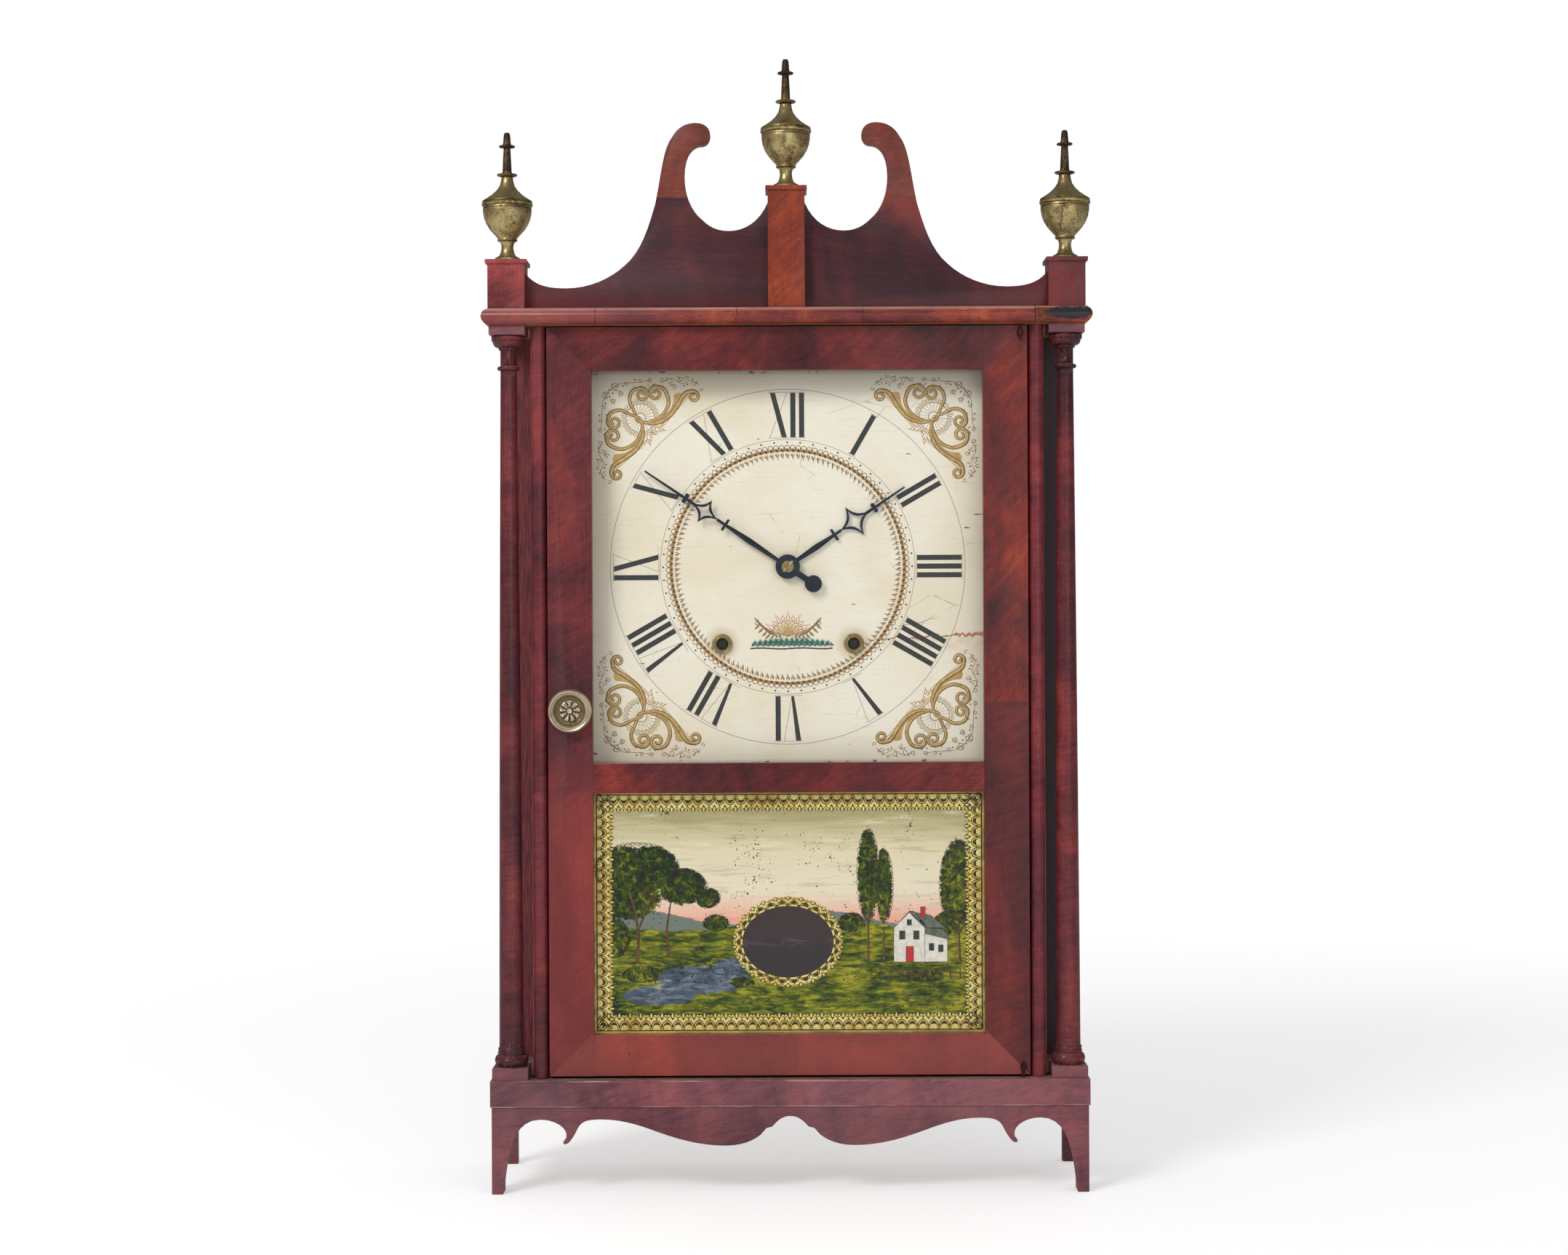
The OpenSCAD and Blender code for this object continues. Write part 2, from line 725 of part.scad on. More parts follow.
module door_knob() {
    color(old_brass)
        translate([-knob_x, y_door, latch_z])
            rotate([90, 0, 0]) {
                rotate_extrude($fn = fine)
                    polygon(knob_profile);
                for (i = [0:petals - 1])
                    rotate([0, 0, i * 360 / petals])
                        translate([rosette_r * 0.62, 0, knob_h - 4.2])
                            cylinder(h = 1.8, r = 2, $fn = small);
                translate([0, 0, knob_h - 4.2])
                    cylinder(h = 2.6, r = 2.6, $fn = small);
                translate([0, 0, -door_t - 0.4])
                    cylinder(h = door_t + 1, r = shank_r, $fn = fine);
            }
}

// Flat hook behind the door, upright when the door is free to open
latch_y = y_door_back + 0.4;
latch_t = 1.5;

module latch_hook() {
    color(iron)
        upright(latch_y, latch_y + latch_t)
            translate([-knob_x, latch_z]) {
                circle(r = 6, $fn = fine);
                translate([-3.5, 0])
                    square([7, latch_l]);
            }
}

dial_z0 = z_open - dial_lap;
dial_z1 = z_open_top + dial_lap;
C = [0, z_dial];
function at(p) = C + p;
wind_time = at([wind_x, -wind_z]);
wind_strike = at([-wind_x, -wind_z]);
arbor_hole = 5.2;

module dial_board() {
    color([0.9, 0.87, 0.76])
        difference() {
            box(-dial_w / 2, dial_w / 2, y_face, y_dial_back, dial_z0, dial_z1);
            bar(C, arbor_hole, y_face - 1, y_dial_back + 1);
            bar(wind_time, wind_hole_r + 1, y_face - 1, y_dial_back + 1);
            bar(wind_strike, wind_hole_r + 1, y_face - 1, y_dial_back + 1);
        }
}

module eyelet(p) {
    translate([p[0], y_face, p[1]])
        rotate([90, 0, 0])
            rotate_extrude($fn = fine)
                polygon([[wind_hole_r, -dial_t], [wind_hole_r + 1, -dial_t],
                    [wind_hole_r + 1, 0], [eyelet_r, 0], [eyelet_r - 0.6, 0.8],
                    [eyelet_r - 1.8, 1.2], [wind_hole_r, 0.6]]);
}

module winding_eyelets() {
    color(old_brass) {
        eyelet(wind_time);
        eyelet(wind_strike);
    }
}

// Strips on the case sides behind the dial, and on the backboard behind the movement
strip_w = 9;
seat_w = 20;
plate_z0 = z_dial - plate_down;
plate_z1 = z_dial + plate_up;

module inner_strips() {
    color(pine)
        both_sides() {
            box(case_in - strip_w, case_in, y_dial_back, y_dial_back + strip_w,
                dial_z0, dial_z1);
            box(plate_w / 2 - seat_w, plate_w / 2, y_plate_back, y_board,
                plate_z0 - 12, plate_z1 + 12);
        }
}

// Where two circles about p and q cross, to the left of the line from p to q
function cross(p, q, rp, rq) =
    let (v = q - p, d = norm(v), a = (rp * rp - rq * rq + d * d) / (2 * d),
        h = sqrt(rp * rp - a * a), u = v / d)
    p + a * u + h * [-u[1], u[0]];
function towards(p, q) = atan2(q[1] - p[1], q[0] - p[0]);

// Wheel teeth and module (pitch diameter over teeth) of each pair
leaves = 8;
main_n = 64;
main_m = 1.2;
second_n = 64;
second_m = 0.9;
third_n = 80;
third_m = 0.6;
motion_n = 36;
minute_n = 12;
motion_m = 1;
hour_n = 40;
small_n = 10;
hour_m = 0.96;
warn_n = 60;
count_n = 39;
count_pinion_n = 32;
count_m = 1;
escape_n = 45;
escape_r = 19;
function reach(a, b, m) = (a + b) * m / 2;

// Axes of the wheels, seen from the front
main_reach = reach(main_n, leaves, main_m);
motion_reach = reach(motion_n, minute_n, motion_m);
escape_axis = at([0, -hang_z - 25]);
hang_axis = at([0, -hang_z]);
motion_axis = at(polar(motion_reach, 12));
second_axis = cross(motion_axis, wind_time, motion_reach, main_reach);
third_axis = cross(escape_axis, second_axis, reach(third_n, leaves, third_m),
    reach(second_n, leaves, second_m));
pin_axis = wind_strike + polar(main_reach, 78);
warn_axis = pin_axis + polar(reach(second_n, leaves, second_m), 105);
fly_axis = warn_axis + polar(reach(warn_n, leaves, third_m), 20);
count_axis = wind_strike + polar(reach(count_n, count_pinion_n, count_m), 45);
// Places of the hammer and lever arbors, from the dial's centre
hammer_x = 76;
hammer_down = 18;
hammer_axis = at([-hammer_x, -hammer_down]);
lever_x = 40;
lever_up = 32;
lever_axis = at([lever_x, lever_up]);

// Outline of a wheel: each tooth has a root, a pitch and a tip width, as shares of its pitch
module teeth_outline(n, m, phase, add = 0.75, ded = 1.25, root = 0.5, mid = 0.4, tip = 0.12) {
    r = n * m / 2;
    step = 360 / n;
    polygon([for (i = [0:n - 1]) for (k = [[-root, -ded], [-mid, 0], [-tip, add], [tip, add],
        [mid, 0], [root, -ded]]) polar(r + k[1] * m, phase + step * (i + k[0] / 2))]);
}

module leaves_outline(n, m, phase) {
    teeth_outline(n, m, phase, 0.6, 1.35, 0.34, 0.34, 0.2);
}

// Phase of a pinion at direction a from a wheel whose tooth is at phase w
function mesh(w, wn, a, pn) = a + 180 + 180 / pn - (w - a) * wn / pn;

spokes = 4;

// Light wheel with four crossings, a hub hole of radius bore and its teeth
module wheel(p, n, m, phase, y0, y1, rim, hub, bore) {
    r = n * m / 2 - 1.25 * m;
    upright(y0, y1)
        translate(p)
            difference() {
                teeth_outline(n, m, phase);
                difference() {
                    circle(r = r - rim, $fn = fine);
                    circle(r = hub, $fn = fine);
                    for (i = [0:spokes / 2 - 1])
                        rotate(i * 360 / spokes + phase)
                            square([3 * r, 5], center = true);
                }
                circle(r = bore, $fn = fine);
            }
}

module solid_wheel(p, n, m, phase, y0, y1, bore) {
    upright(y0, y1)
        translate(p)
            difference() {
                teeth_outline(n, m, phase);
                circle(r = bore, $fn = fine);
            }
}

module pinion(p, n, m, phase, y0, y1) {
    upright(y0, y1)
        translate(p)
            leaves_outline(n, m, phase);
}

// An arbor between the plates with a pivot in each
shoulder = 0.4;

module arbor(p, r) {
    bar(p, pivot_r, y_plate, y_plate_back);
    bar(p, r, y_in + shoulder, y_in_back - shoulder);
}

// Holes for the pivots of the trains, the centre work and the winding arbors
pivots = [second_axis, third_axis, escape_axis, pin_axis, warn_axis, fly_axis, hammer_axis,
    lever_axis];
pillar_x = plate_w / 2 - 7;
pillar_step = 19;
pillar_low = plate_z0 + 7;
pillar_high = plate_z1 - 7;
post_r = 1.1;
count_stud_r = 2;

module plate_outline() {
    translate([-plate_w / 2, plate_z0])
        square([plate_w, plate_z1 - plate_z0]);
}

module pivot_holes(list, r, y0, y1) {
    for (p = list)
        bar(p, r + fit, y0, y1);
}

module front_plate() {
    color(cherry)
        difference() {
            upright(y_plate, y_in)
                plate_outline();
            pivot_holes([third_axis, pin_axis, warn_axis, fly_axis, hammer_axis], pivot_r,
                y_plate - 1, y_in + 1);
            pivot_holes([second_axis, escape_axis, lever_axis], arbor_r - 0.5, y_plate - 1,
                y_in + 1);
            pivot_holes([C, motion_axis], centre_r, y_plate - 1, y_in + 1);
            pivot_holes([wind_time, wind_strike], wind_r, y_plate - 1, y_in + 1);
        }
}

module back_plate() {
    color(cherry)
        difference() {
            upright(y_in_back, y_plate_back)
                plate_outline();
            pivot_holes(pivots, pivot_r, y_in_back - 1, y_plate_back + 1);
            pivot_holes([wind_time, wind_strike], pivot_r, y_in_back - 1, y_plate_back + 1);
        }
}

module plate_pillars() {
    color(cherry)
        both_sides() {
            bar([pillar_x, pillar_low], pillar_r, y_in, y_in_back);
            bar([pillar_x - pillar_step, pillar_high], pillar_r, y_in, y_in_back);
        }
}

// Levels of the pieces in front of the front plate
y_escape = y_plate - 2.5;
escape_t = 1.7;
y_crutch = y_plate - 5.4;
y_rod = y_plate - 7.4;
y_motion = y_plate - 11.2;
motion_t = 2.4;
y_hour = y_plate - 15;
hour_t = 2.4;
y_stud = y_rod - 2.2;

module plate_studs() {
    color(iron) {
        bar(hang_axis, post_r, y_stud, y_plate);
        bar(hang_axis, post_r + 0.9, y_stud - 0.8, y_stud);
        bar(count_axis, count_stud_r, y_in, y_main - 0.4);
    }
}

// Centre arbor, its minute pinion and the pin that lifts the strike lever
lift_pin = 8;

module centre_arbor() {
    a = mesh(motion_phase, motion_n, towards(motion_axis, C), minute_n);
    color(old_brass) {
        bar(C, centre_r, y_minute - 2.6, y_in + 1.6);
        bar(C, centre_r + 2.2, y_minute - 1.8, y_minute - 0.2);
        bar(C, centre_r + 1.6, y_in + 0.3, y_in + 1.6);
        bar(C, centre_r + 1.2, y_plate - 8, y_plate - 0.4);
        pinion(C, minute_n, motion_m, a, y_motion - 0.3, y_motion + motion_t + 0.3);
        translate([0, y_plate - 4.7, z_dial])
            cylinder(h = lift_pin, r = 0.7, $fn = small);
    }
}

motion_phase = towards(motion_axis, second_axis);

module motion_wheel() {
    color(cherry) {
        solid_wheel(motion_axis, motion_n, motion_m, motion_phase, y_motion,
            y_motion + motion_t, centre_r - 0.5);
        pinion(motion_axis, small_n, hour_m, towards(motion_axis, C), y_hour - 0.3,
            y_motion + 0.1);
        bar(motion_axis, centre_r, y_hour - 1.4, y_in + 1.4);
        bar(motion_axis, centre_r + 1.4, y_in + 0.3, y_in + 1.4);
    }
}

// Hour wheel and the pipe that carries the hour hand
pipe_r = 3.8;
y_hour_hand = y_face - 2.8;
y_minute = y_face - 5.4;

module hour_wheel() {
    a = towards(C, motion_axis) + 180 / hour_n;
    color(cherry)
        difference() {
            union() {
                wheel(C, hour_n, hour_m, a, y_hour, y_hour + hour_t, 3, 6, centre_r + fit);
                bar(C, pipe_r, y_hour_hand, y_hour + hour_t);
            }
            bar(C, centre_r + fit, y_hour_hand - 1, y_hour + hour_t + 1);
        }
}

// Concave diamond of a hand, pointing up, as wide as 2 w and as long as 2 l
module diamond(w, l) {
    polygon(concat(
        curve([0, l], [w * 0.16, l * 0.42], [w * 0.42, l * 0.16], [w, 0], 6),
        curve([w, 0], [w * 0.42, -l * 0.16], [w * 0.16, -l * 0.42], [0, -l], 6),
        curve([0, -l], [-w * 0.16, -l * 0.42], [-w * 0.42, -l * 0.16], [-w, 0], 6),
        curve([-w, 0], [-w * 0.42, l * 0.16], [-w * 0.16, l * 0.42], [0, l], 6)));
}

// Places of the crossbar, the open diamond and the bobbles, as shares of a hand's length
minute_marks = [0.436, 0.579, 0.714];
hour_marks = [0.4, 0.572, 0.74];
// Half width and half length of the diamond
minute_eye = [9.4, 11.5];
hour_eye = [12, 12.5];
minute_hub_r = 8.7;
hour_hub_r = 8.2;
shank_half = 2.1;
neck_half = 1.05;
tip_half = 0.6;
bar_half = 4.6;
bar_t = 1.9;
bobble_r = 1.6;
eye_rim = [3.4, 4.6];

// A hand pointing up: hub, tapered shank, crossbar, open diamond, bobbles and pointed tip
module hand(l, hub_r, hole_r, marks, eye) {
    bar_at = l * marks[0];
    eye_at = l * marks[1];
    bob_at = l * marks[2];
    difference() {
        union() {
            circle(r = hub_r, $fn = fine);
            polygon([[-neck_half, 0], [-shank_half, bar_at * 0.62], [-neck_half, bar_at],
                [neck_half, bar_at], [shank_half, bar_at * 0.62], [neck_half, 0]]);
            translate([-neck_half, bar_at - 1])
                square([2 * neck_half, eye_at - eye[1] + 2 - bar_at]);
            translate([-bar_half, bar_at - bar_t / 2])
                square([2 * bar_half, bar_t]);
            translate([0, eye_at])
                diamond(eye[0], eye[1]);
            polygon([[-neck_half, eye_at + eye[1] - 3], [-neck_half, bob_at], [-tip_half, l],
                [tip_half, l], [neck_half, bob_at], [neck_half, eye_at + eye[1] - 3]]);
            for (s = [-1, 1])
                translate([s * (bobble_r + neck_half / 2), bob_at])
                    circle(r = bobble_r, $fn = small);
        }
        translate([0, eye_at])
            diamond(eye[0] - eye_rim[0], eye[1] - eye_rim[1]);
        circle(r = hole_r, $fn = fine);
    }
}

// Disc on the tail of the minute hand, and the stem between
tail_at = 22;
tail_r = 6.1;
tail_half = 2.2;

module minute_hand() {
    color(blue_steel)
        upright(y_minute, y_minute + hand_t)
            translate(C)
                rotate(-minute_at)
                    difference() {
                        union() {
                            hand(minute_l, minute_hub_r, centre_r, minute_marks, minute_eye);
                            translate([0, -tail_at])
                                circle(r = tail_r, $fn = fine);
                            translate([-tail_half, -tail_at])
                                square([2 * tail_half, tail_at - minute_hub_r + 1]);
                        }
                        circle(r = centre_r, $fn = fine);
                    }
}

module hour_hand() {
    color(blue_steel)
        upright(y_hour_hand, y_hour_hand + hand_t)
            translate(C)
                rotate(-hour_at)
                    hand(hour_l, hour_hub_r, pipe_r, hour_marks, hour_eye);
}

// Layers between the plates
y_count = y_in + 0.6;
y_main = y_in + 4.2;
main_t = 3;
y_ratchet = y_main + main_t + 0.3;
ratchet_t = 2.4;
y_drum = y_ratchet + ratchet_t;
drum_l = 12.3;
y_third = y_in + 14;
y_second = y_in + 24;
wheel_t = 2.4;
click_r = 24;
ratchet_r = 18;

module main_wheel(p, phase) {
    color(cherry)
        solid_wheel(p, main_n, main_m, phase, y_main, y_main + main_t, wind_r + fit);
    color(old_brass)
        upright(y_main + main_t, y_main + main_t + 2)
            translate(p)
                polygon([polar(click_r, 0), polar(click_r + 3, 4), polar(click_r + 2, 34),
                    polar(ratchet_r + 0.8, 38), polar(click_r - 2, 24)]);
}

time_main_phase = towards(wind_time, second_axis);
strike_main_phase = towards(wind_strike, pin_axis);

module time_main_wheel() {
    main_wheel(wind_time, time_main_phase);
}

ratchet_n = 20;

// Winding drum with its ratchet, arbor and square
module drum(p, turn) {
    square_w = 5;
    color(cherry) {
        bar(p, drum_r, y_drum, y_drum + drum_l);
        bar(p, drum_r + 3.5, y_drum + drum_l, y_drum + drum_l + 1.5);
        upright(y_ratchet, y_drum)
            translate(p)
                polygon([for (i = [0:ratchet_n - 1]) for (k = [0, 1])
                    polar(ratchet_r - 3 * k, turn * (i + 0.12 * k) * 360 / ratchet_n)]);
    }
    color(iron) {
        bar(p, wind_r, y_plate - 1, y_ratchet);
        bar(p, pivot_r, y_drum + drum_l, y_plate_back);
        bar(p, wind_r, y_drum + drum_l + 1, y_in_back - shoulder);
        translate([p[0] - square_w / 2, y_face + 0.5, p[1] - square_w / 2])
            cube([square_w, y_plate - 1 - y_face, square_w]);
    }
}

module time_drum() {
    drum(wind_time, 1);
}

module second_wheel() {
    a = mesh(time_main_phase, main_n, towards(wind_time, second_axis), leaves);
    b = mesh(motion_phase, motion_n, towards(motion_axis, second_axis), minute_n);
    color(cherry) {
        arbor(second_axis, arbor_r);
        bar(second_axis, arbor_r - 0.5, y_motion - 1, y_in + 1);
        pinion(second_axis, leaves, main_m, a, y_main - 0.6, y_main + main_t + 0.6);
        pinion(second_axis, minute_n, motion_m, b, y_motion - 0.3, y_motion + motion_t + 0.3);
        wheel(second_axis, second_n, second_m, towards(second_axis, third_axis), y_second,
            y_second + wheel_t, 4, 7, arbor_r - 0.5);
    }
}

module third_wheel() {
    a = towards(second_axis, third_axis);
    color(cherry) {
        arbor(third_axis, arbor_r - 0.3);
        pinion(third_axis, leaves, second_m, mesh(a, second_n, a, leaves), y_second - 0.6,
            y_second + wheel_t + 0.6);
        wheel(third_axis, third_n, third_m, towards(third_axis, escape_axis), y_third,
            y_third + wheel_t, 3.5, 6, arbor_r - 0.8);
    }
}

// Escape wheel in front of the plate, with raked teeth
module escape_wheel() {
    a = towards(third_axis, escape_axis);
    step = 360 / escape_n;
    color(old_brass) {
        bar(escape_axis, pivot_r, y_in_back - 1, y_plate_back);
        bar(escape_axis, arbor_r - 1.1, y_in - 1, y_in_back - shoulder);
        bar(escape_axis, arbor_r - 0.5, y_escape - 0.6, y_in + 1);
        pinion(escape_axis, leaves, third_m, mesh(a, third_n, a, leaves), y_third - 0.6,
            y_third + wheel_t + 0.6);
        upright(y_escape, y_escape + escape_t)
            translate(escape_axis)
                difference() {
                    polygon([for (i = [0:escape_n - 1]) for (k = [[-0.45, -1.6], [0.1, 0],
                        [0.2, 0], [0.3, -1.6]]) polar(escape_r + k[1], step * (i + k[0]))]);
                    difference() {
                        circle(r = escape_r - 3.6, $fn = fine);
                        circle(r = 5, $fn = fine);
                        for (i = [0, 1])
                            rotate(i * 90 + 45)
                                square([3 * escape_r, 2.4], center = true);
                    }
                }
    }
}

// Verge astride the escape wheel, and its crutch with a fork round the pendulum wire
crutch_l = 58;
verge_gap = 1.7;

module verge() {
    span = 46;
    strip = 1.6;
    drop = norm(hang_axis - escape_axis);
    color(iron)
        difference() {
            union() {
                upright(y_escape - 0.2, y_escape + escape_t + 0.2)
                    translate(escape_axis)
                        polygon(concat(
                            [for (a = [90 - span:span / 4:90 + span])
                                polar(escape_r + verge_gap, a)],
                            [for (a = [90 + span:-span / 4:90 - span])
                                polar(escape_r + verge_gap + strip, a)]));
                bar(hang_axis, post_r + 1.6, y_crutch, y_escape + escape_t + 0.2);
                upright(y_escape - 0.2, y_escape + escape_t + 0.2)
                    translate(escape_axis)
                        polygon([[-2, escape_r + verge_gap + 0.6], [2, escape_r + verge_gap + 0.6],
                            [1.6, drop], [-1.6, drop]]);
                upright(y_crutch, y_crutch + 1.2)
                    translate(hang_axis - [0.6, crutch_l])
                        square([1.2, crutch_l]);
                for (s = [-1, 1])
                    box(s * 1.9 - 0.5, s * 1.9 + 0.5, y_rod - 1.6, y_crutch + 1.2,
                        hang_axis[1] - crutch_l, hang_axis[1] - crutch_l + 1.2);
                box(-2.4, 2.4, y_crutch, y_crutch + 1.2, hang_axis[1] - crutch_l,
                    hang_axis[1] - crutch_l + 1.2);
            }
            bar(hang_axis, post_r + fit, y_crutch - 1, y_escape + escape_t + 1);
        }
}

z_bob = z_dial - hang_z - pendulum_l;

module pendulum_rod() {
    eye = post_r + 1.1;
    color(old_brass)
        difference() {
            union() {
                bar(hang_axis, eye, y_rod - 0.8, y_rod + 0.8);
                translate([0, y_rod, z_bob - bob_r - 8])
                    cylinder(h = hang_axis[1] - post_r - 0.6 - z_bob + bob_r + 8, r = rod_r,
                        $fn = small);
                translate([0, y_rod, z_bob - bob_r - 6])
                    cylinder(h = 4, r = 3.4, $fn = small);
            }
            bar(hang_axis, post_r + fit, y_rod - 2, y_rod + 2);
        }
}

bob_profile = [[0, -bob_t / 2], [bob_r * 0.55, -bob_t / 2 + 0.4], [bob_r - 2, -1.2],
    [bob_r, -0.6], [bob_r, 0.6], [bob_r - 2, 1.2], [bob_r * 0.55, bob_t / 2 - 0.4],
    [0, bob_t / 2]];

module pendulum_bob() {
    color(old_brass)
        difference() {
            translate([0, y_rod, z_bob])
                rotate([90, 0, 0])
                    rotate_extrude($fn = fine)
                        polygon(bob_profile);
            translate([0, y_rod, z_bob - bob_r - 1])
                cylinder(h = 2 * bob_r + 2, r = rod_r, $fn = small);
        }
}

module strike_main_wheel() {
    a = mesh(count_phase, count_n, towards(count_axis, wind_strike), count_pinion_n);
    main_wheel(wind_strike, strike_main_phase);
    color(cherry)
        solid_wheel(wind_strike, count_pinion_n, count_m, a, y_count + 1, y_main, wind_r + fit);
}

module strike_drum() {
    drum(wind_strike, -1);
}

// Wheel whose pins lift the hammer tail
pins = 8;
pin_circle = 22;
pin_l = 3;

module pin_wheel() {
    a = mesh(strike_main_phase, main_n, strike_main_phase, leaves);
    color(cherry) {
        arbor(pin_axis, arbor_r);
        pinion(pin_axis, leaves, main_m, a, y_main - 0.6, y_main + main_t + 0.6);
        wheel(pin_axis, second_n, second_m, towards(pin_axis, warn_axis), y_second,
            y_second + wheel_t, 7, 7, arbor_r - 0.5);
    }
    color(iron)
        for (i = [0:pins - 1])
            bar(pin_axis + polar(pin_circle, i * 360 / pins), 0.9, y_second - pin_l, y_second);
}

warn_t = 2;
y_warn = y_in + 18.6;

module warning_wheel() {
    a = towards(pin_axis, warn_axis);
    color(cherry) {
        arbor(warn_axis, arbor_r - 0.3);
        pinion(warn_axis, leaves, second_m, mesh(a, second_n, a, leaves), y_second - 0.6,
            y_second + wheel_t + 0.6);
        wheel(warn_axis, warn_n, third_m, towards(warn_axis, fly_axis), y_warn, y_warn + warn_t,
            3, 5, arbor_r - 0.8);
    }
    color(iron)
        bar(warn_axis + polar(13.5, 200), 0.7, y_warn - 2, y_warn);
}

fly_w = 26;
fly_l = 11;

module fly() {
    a = towards(warn_axis, fly_axis);
    color(cherry) {
        bar(fly_axis, pivot_r, y_plate, y_plate_back);
        bar(fly_axis, arbor_r - 1, y_in + shoulder, y_in_back - shoulder);
        pinion(fly_axis, leaves, third_m, mesh(a, warn_n, a, leaves), y_warn - 0.6,
            y_warn + warn_t + 0.6);
    }
    color(old_brass)
        difference() {
            translate([fly_axis[0] - fly_w / 2, y_in + 4, fly_axis[1] - 0.4])
                cube([fly_w, fly_l, 0.8]);
            bar(fly_axis, arbor_r - 1, y_in, y_in_back);
        }
}

count_phase = towards(count_axis, wind_strike);
blows = [1, 2, 3, 4, 5, 6, 7, 8, 9, 10, 11, 12];
function blows_before(i) = i == 0 ? 0 : blows[i - 1] + blows_before(i - 1);
blow_step = 360 / blows_before(12);
count_disc_r = 17;
notch_w = 1.8;
notch_in = 2;

// Count wheel: a notch before each hour's run of blows, with its gear behind
module count_wheel() {
    t = 1.3;
    color(cherry)
        upright(y_count + t, y_main - 0.8)
            translate(count_axis)
                difference() {
                    teeth_outline(count_n, count_m, count_phase);
                    circle(r = count_stud_r + fit, $fn = fine);
                }
    color(cherry)
        upright(y_count, y_count + t)
            translate(count_axis)
                difference() {
                    circle(r = count_disc_r, $fn = fine);
                    circle(r = count_stud_r + fit, $fn = fine);
                    for (i = [0:len(blows) - 1])
                        rotate(blows_before(i) * blow_step)
                            translate([count_disc_r - notch_in, -notch_w / 2])
                                square([2 * notch_in, notch_w]);
                }
}

// Hammer: arbor, tail beside the pins, wire down to the bell and a head at its rim
bell_axis = [0, plate_z0 - bell_drop + 14];
y_bell = y_board - 5 - bell_d;
head_r = 4.5;
head_l = 12;
head_gap = 0.8;
head_up = 6;
hammer_wire = 1.6;
bell_post_r = 2.5;
y_hammer = y_in_back - 6.6;

module hammer() {
    head = [-bell_r - head_gap - head_l, bell_axis[1] + head_up];
    wire = head + [head_l / 2, 0] - hammer_axis;
    tail = pin_axis - hammer_axis;
    color(iron) {
        arbor(hammer_axis, 2);
        upright(y_hammer - 1.4, y_hammer + 0.2)
            translate(hammer_axis)
                rotate(atan2(wire[1], wire[0]))
                    translate([0, -hammer_wire / 2])
                        square([norm(wire), hammer_wire]);
        translate([head[0], y_hammer - 0.6, head[1]])
            rotate([0, 90, 0])
                cylinder(h = head_l, r = head_r, $fn = small);
        upright(y_second - pin_l, y_second - 1)
            translate(hammer_axis)
                rotate(atan2(tail[1], tail[0]))
                    translate([0, -hammer_wire / 2])
                        square([norm(tail) - pin_circle - 2, hammer_wire]);
    }
}

// Lever lifted by the centre arbor's pin; its finger lies over the count wheel
y_finger = y_count;
finger_t = 1.2;

module arm(p, q, w) {
    v = q - p;
    translate(p)
        rotate(atan2(v[1], v[0]))
            translate([0, -w / 2])
                square([norm(v), w]);
}

module lifting_lever() {
    front_tip = at([2, lift_pin + 2.6]);
    finger_tip = count_axis + [-2, 18.4];
    elbow = at([-14, 22]);
    color(iron) {
        bar(lever_axis, pivot_r, y_in_back - 1, y_plate_back);
        bar(lever_axis, arbor_r - 0.5, y_plate - 5.5, y_in_back - shoulder);
        upright(y_plate - 5.5, y_plate - 4)
            arm(lever_axis, front_tip, 2);
        upright(y_finger, y_finger + finger_t)
            union() {
                arm(lever_axis, elbow, 1.6);
                arm(elbow, finger_tip, 1.6);
                translate(elbow)
                    circle(r = 1.2, $fn = small);
            }
    }
}

// Cup bell on a post from the backboard, its mouth to the back
module bell() {
    crown = 8;
    color(old_brass)
        translate([bell_axis[0], y_bell, bell_axis[1]])
            rotate([-90, 0, 0])
                difference() {
                    rotate_extrude($fn = fine)
                        polygon(concat([[0, 0], [crown, 0]],
                            curve([crown, 0], [bell_r * 0.72, 0], [bell_r * 0.88, bell_d * 0.3],
                                [bell_r, bell_d], 8),
                            curve([bell_r - bell_wall, bell_d],
                                [bell_r - bell_wall, bell_d],
                                [bell_r * 0.88 - bell_wall, bell_d * 0.4],
                                [crown + 6, bell_wall], 6),
                            [[0, bell_wall]]));
                    translate([0, 0, -1])
                        cylinder(h = bell_d, r = bell_post_r + fit, $fn = fine);
                }
}

module bell_post() {
    color(iron) {
        bar(bell_axis, bell_post_r, y_bell - 4, y_board);
        bar(bell_axis, bell_post_r + 2, y_bell - 3.4, y_bell);
        bar(bell_axis, bell_post_r + 2.5, y_bell + bell_wall, y_bell + bell_wall + 3);
        bar(bell_axis, bell_post_r + 4.5, y_board - 2, y_board);
    }
}

// Dust covers over the pulley slots, and the pins that the pulleys turn on
pulley_z = z_top + top_t / 2;
groove_r = pulley_r - 2;
pulley_t = 6;
pulley_pin_r = 1.4;
cover_wall = 3;

module pulley_covers() {
    half = slot_half + cover_wall;
    high = z_deck + pulley_r - top_t / 2 + cover_wall + 1.5;
    color(pine)
        both_sides()
            difference() {
                box(pulley_x - half, pulley_x + half, y_cord - slot_w / 2 - cover_wall,
                    y_cord + slot_w / 2 + cover_wall, z_deck, high);
                box(pulley_x - slot_half, pulley_x + slot_half, y_cord - slot_w / 2,
                    y_cord + slot_w / 2, z_deck - 1, high - cover_wall);
            }
    color(iron)
        both_sides()
            bar([pulley_x, pulley_z], pulley_pin_r, y_cord - slot_w / 2, y_cord + slot_w / 2);
}

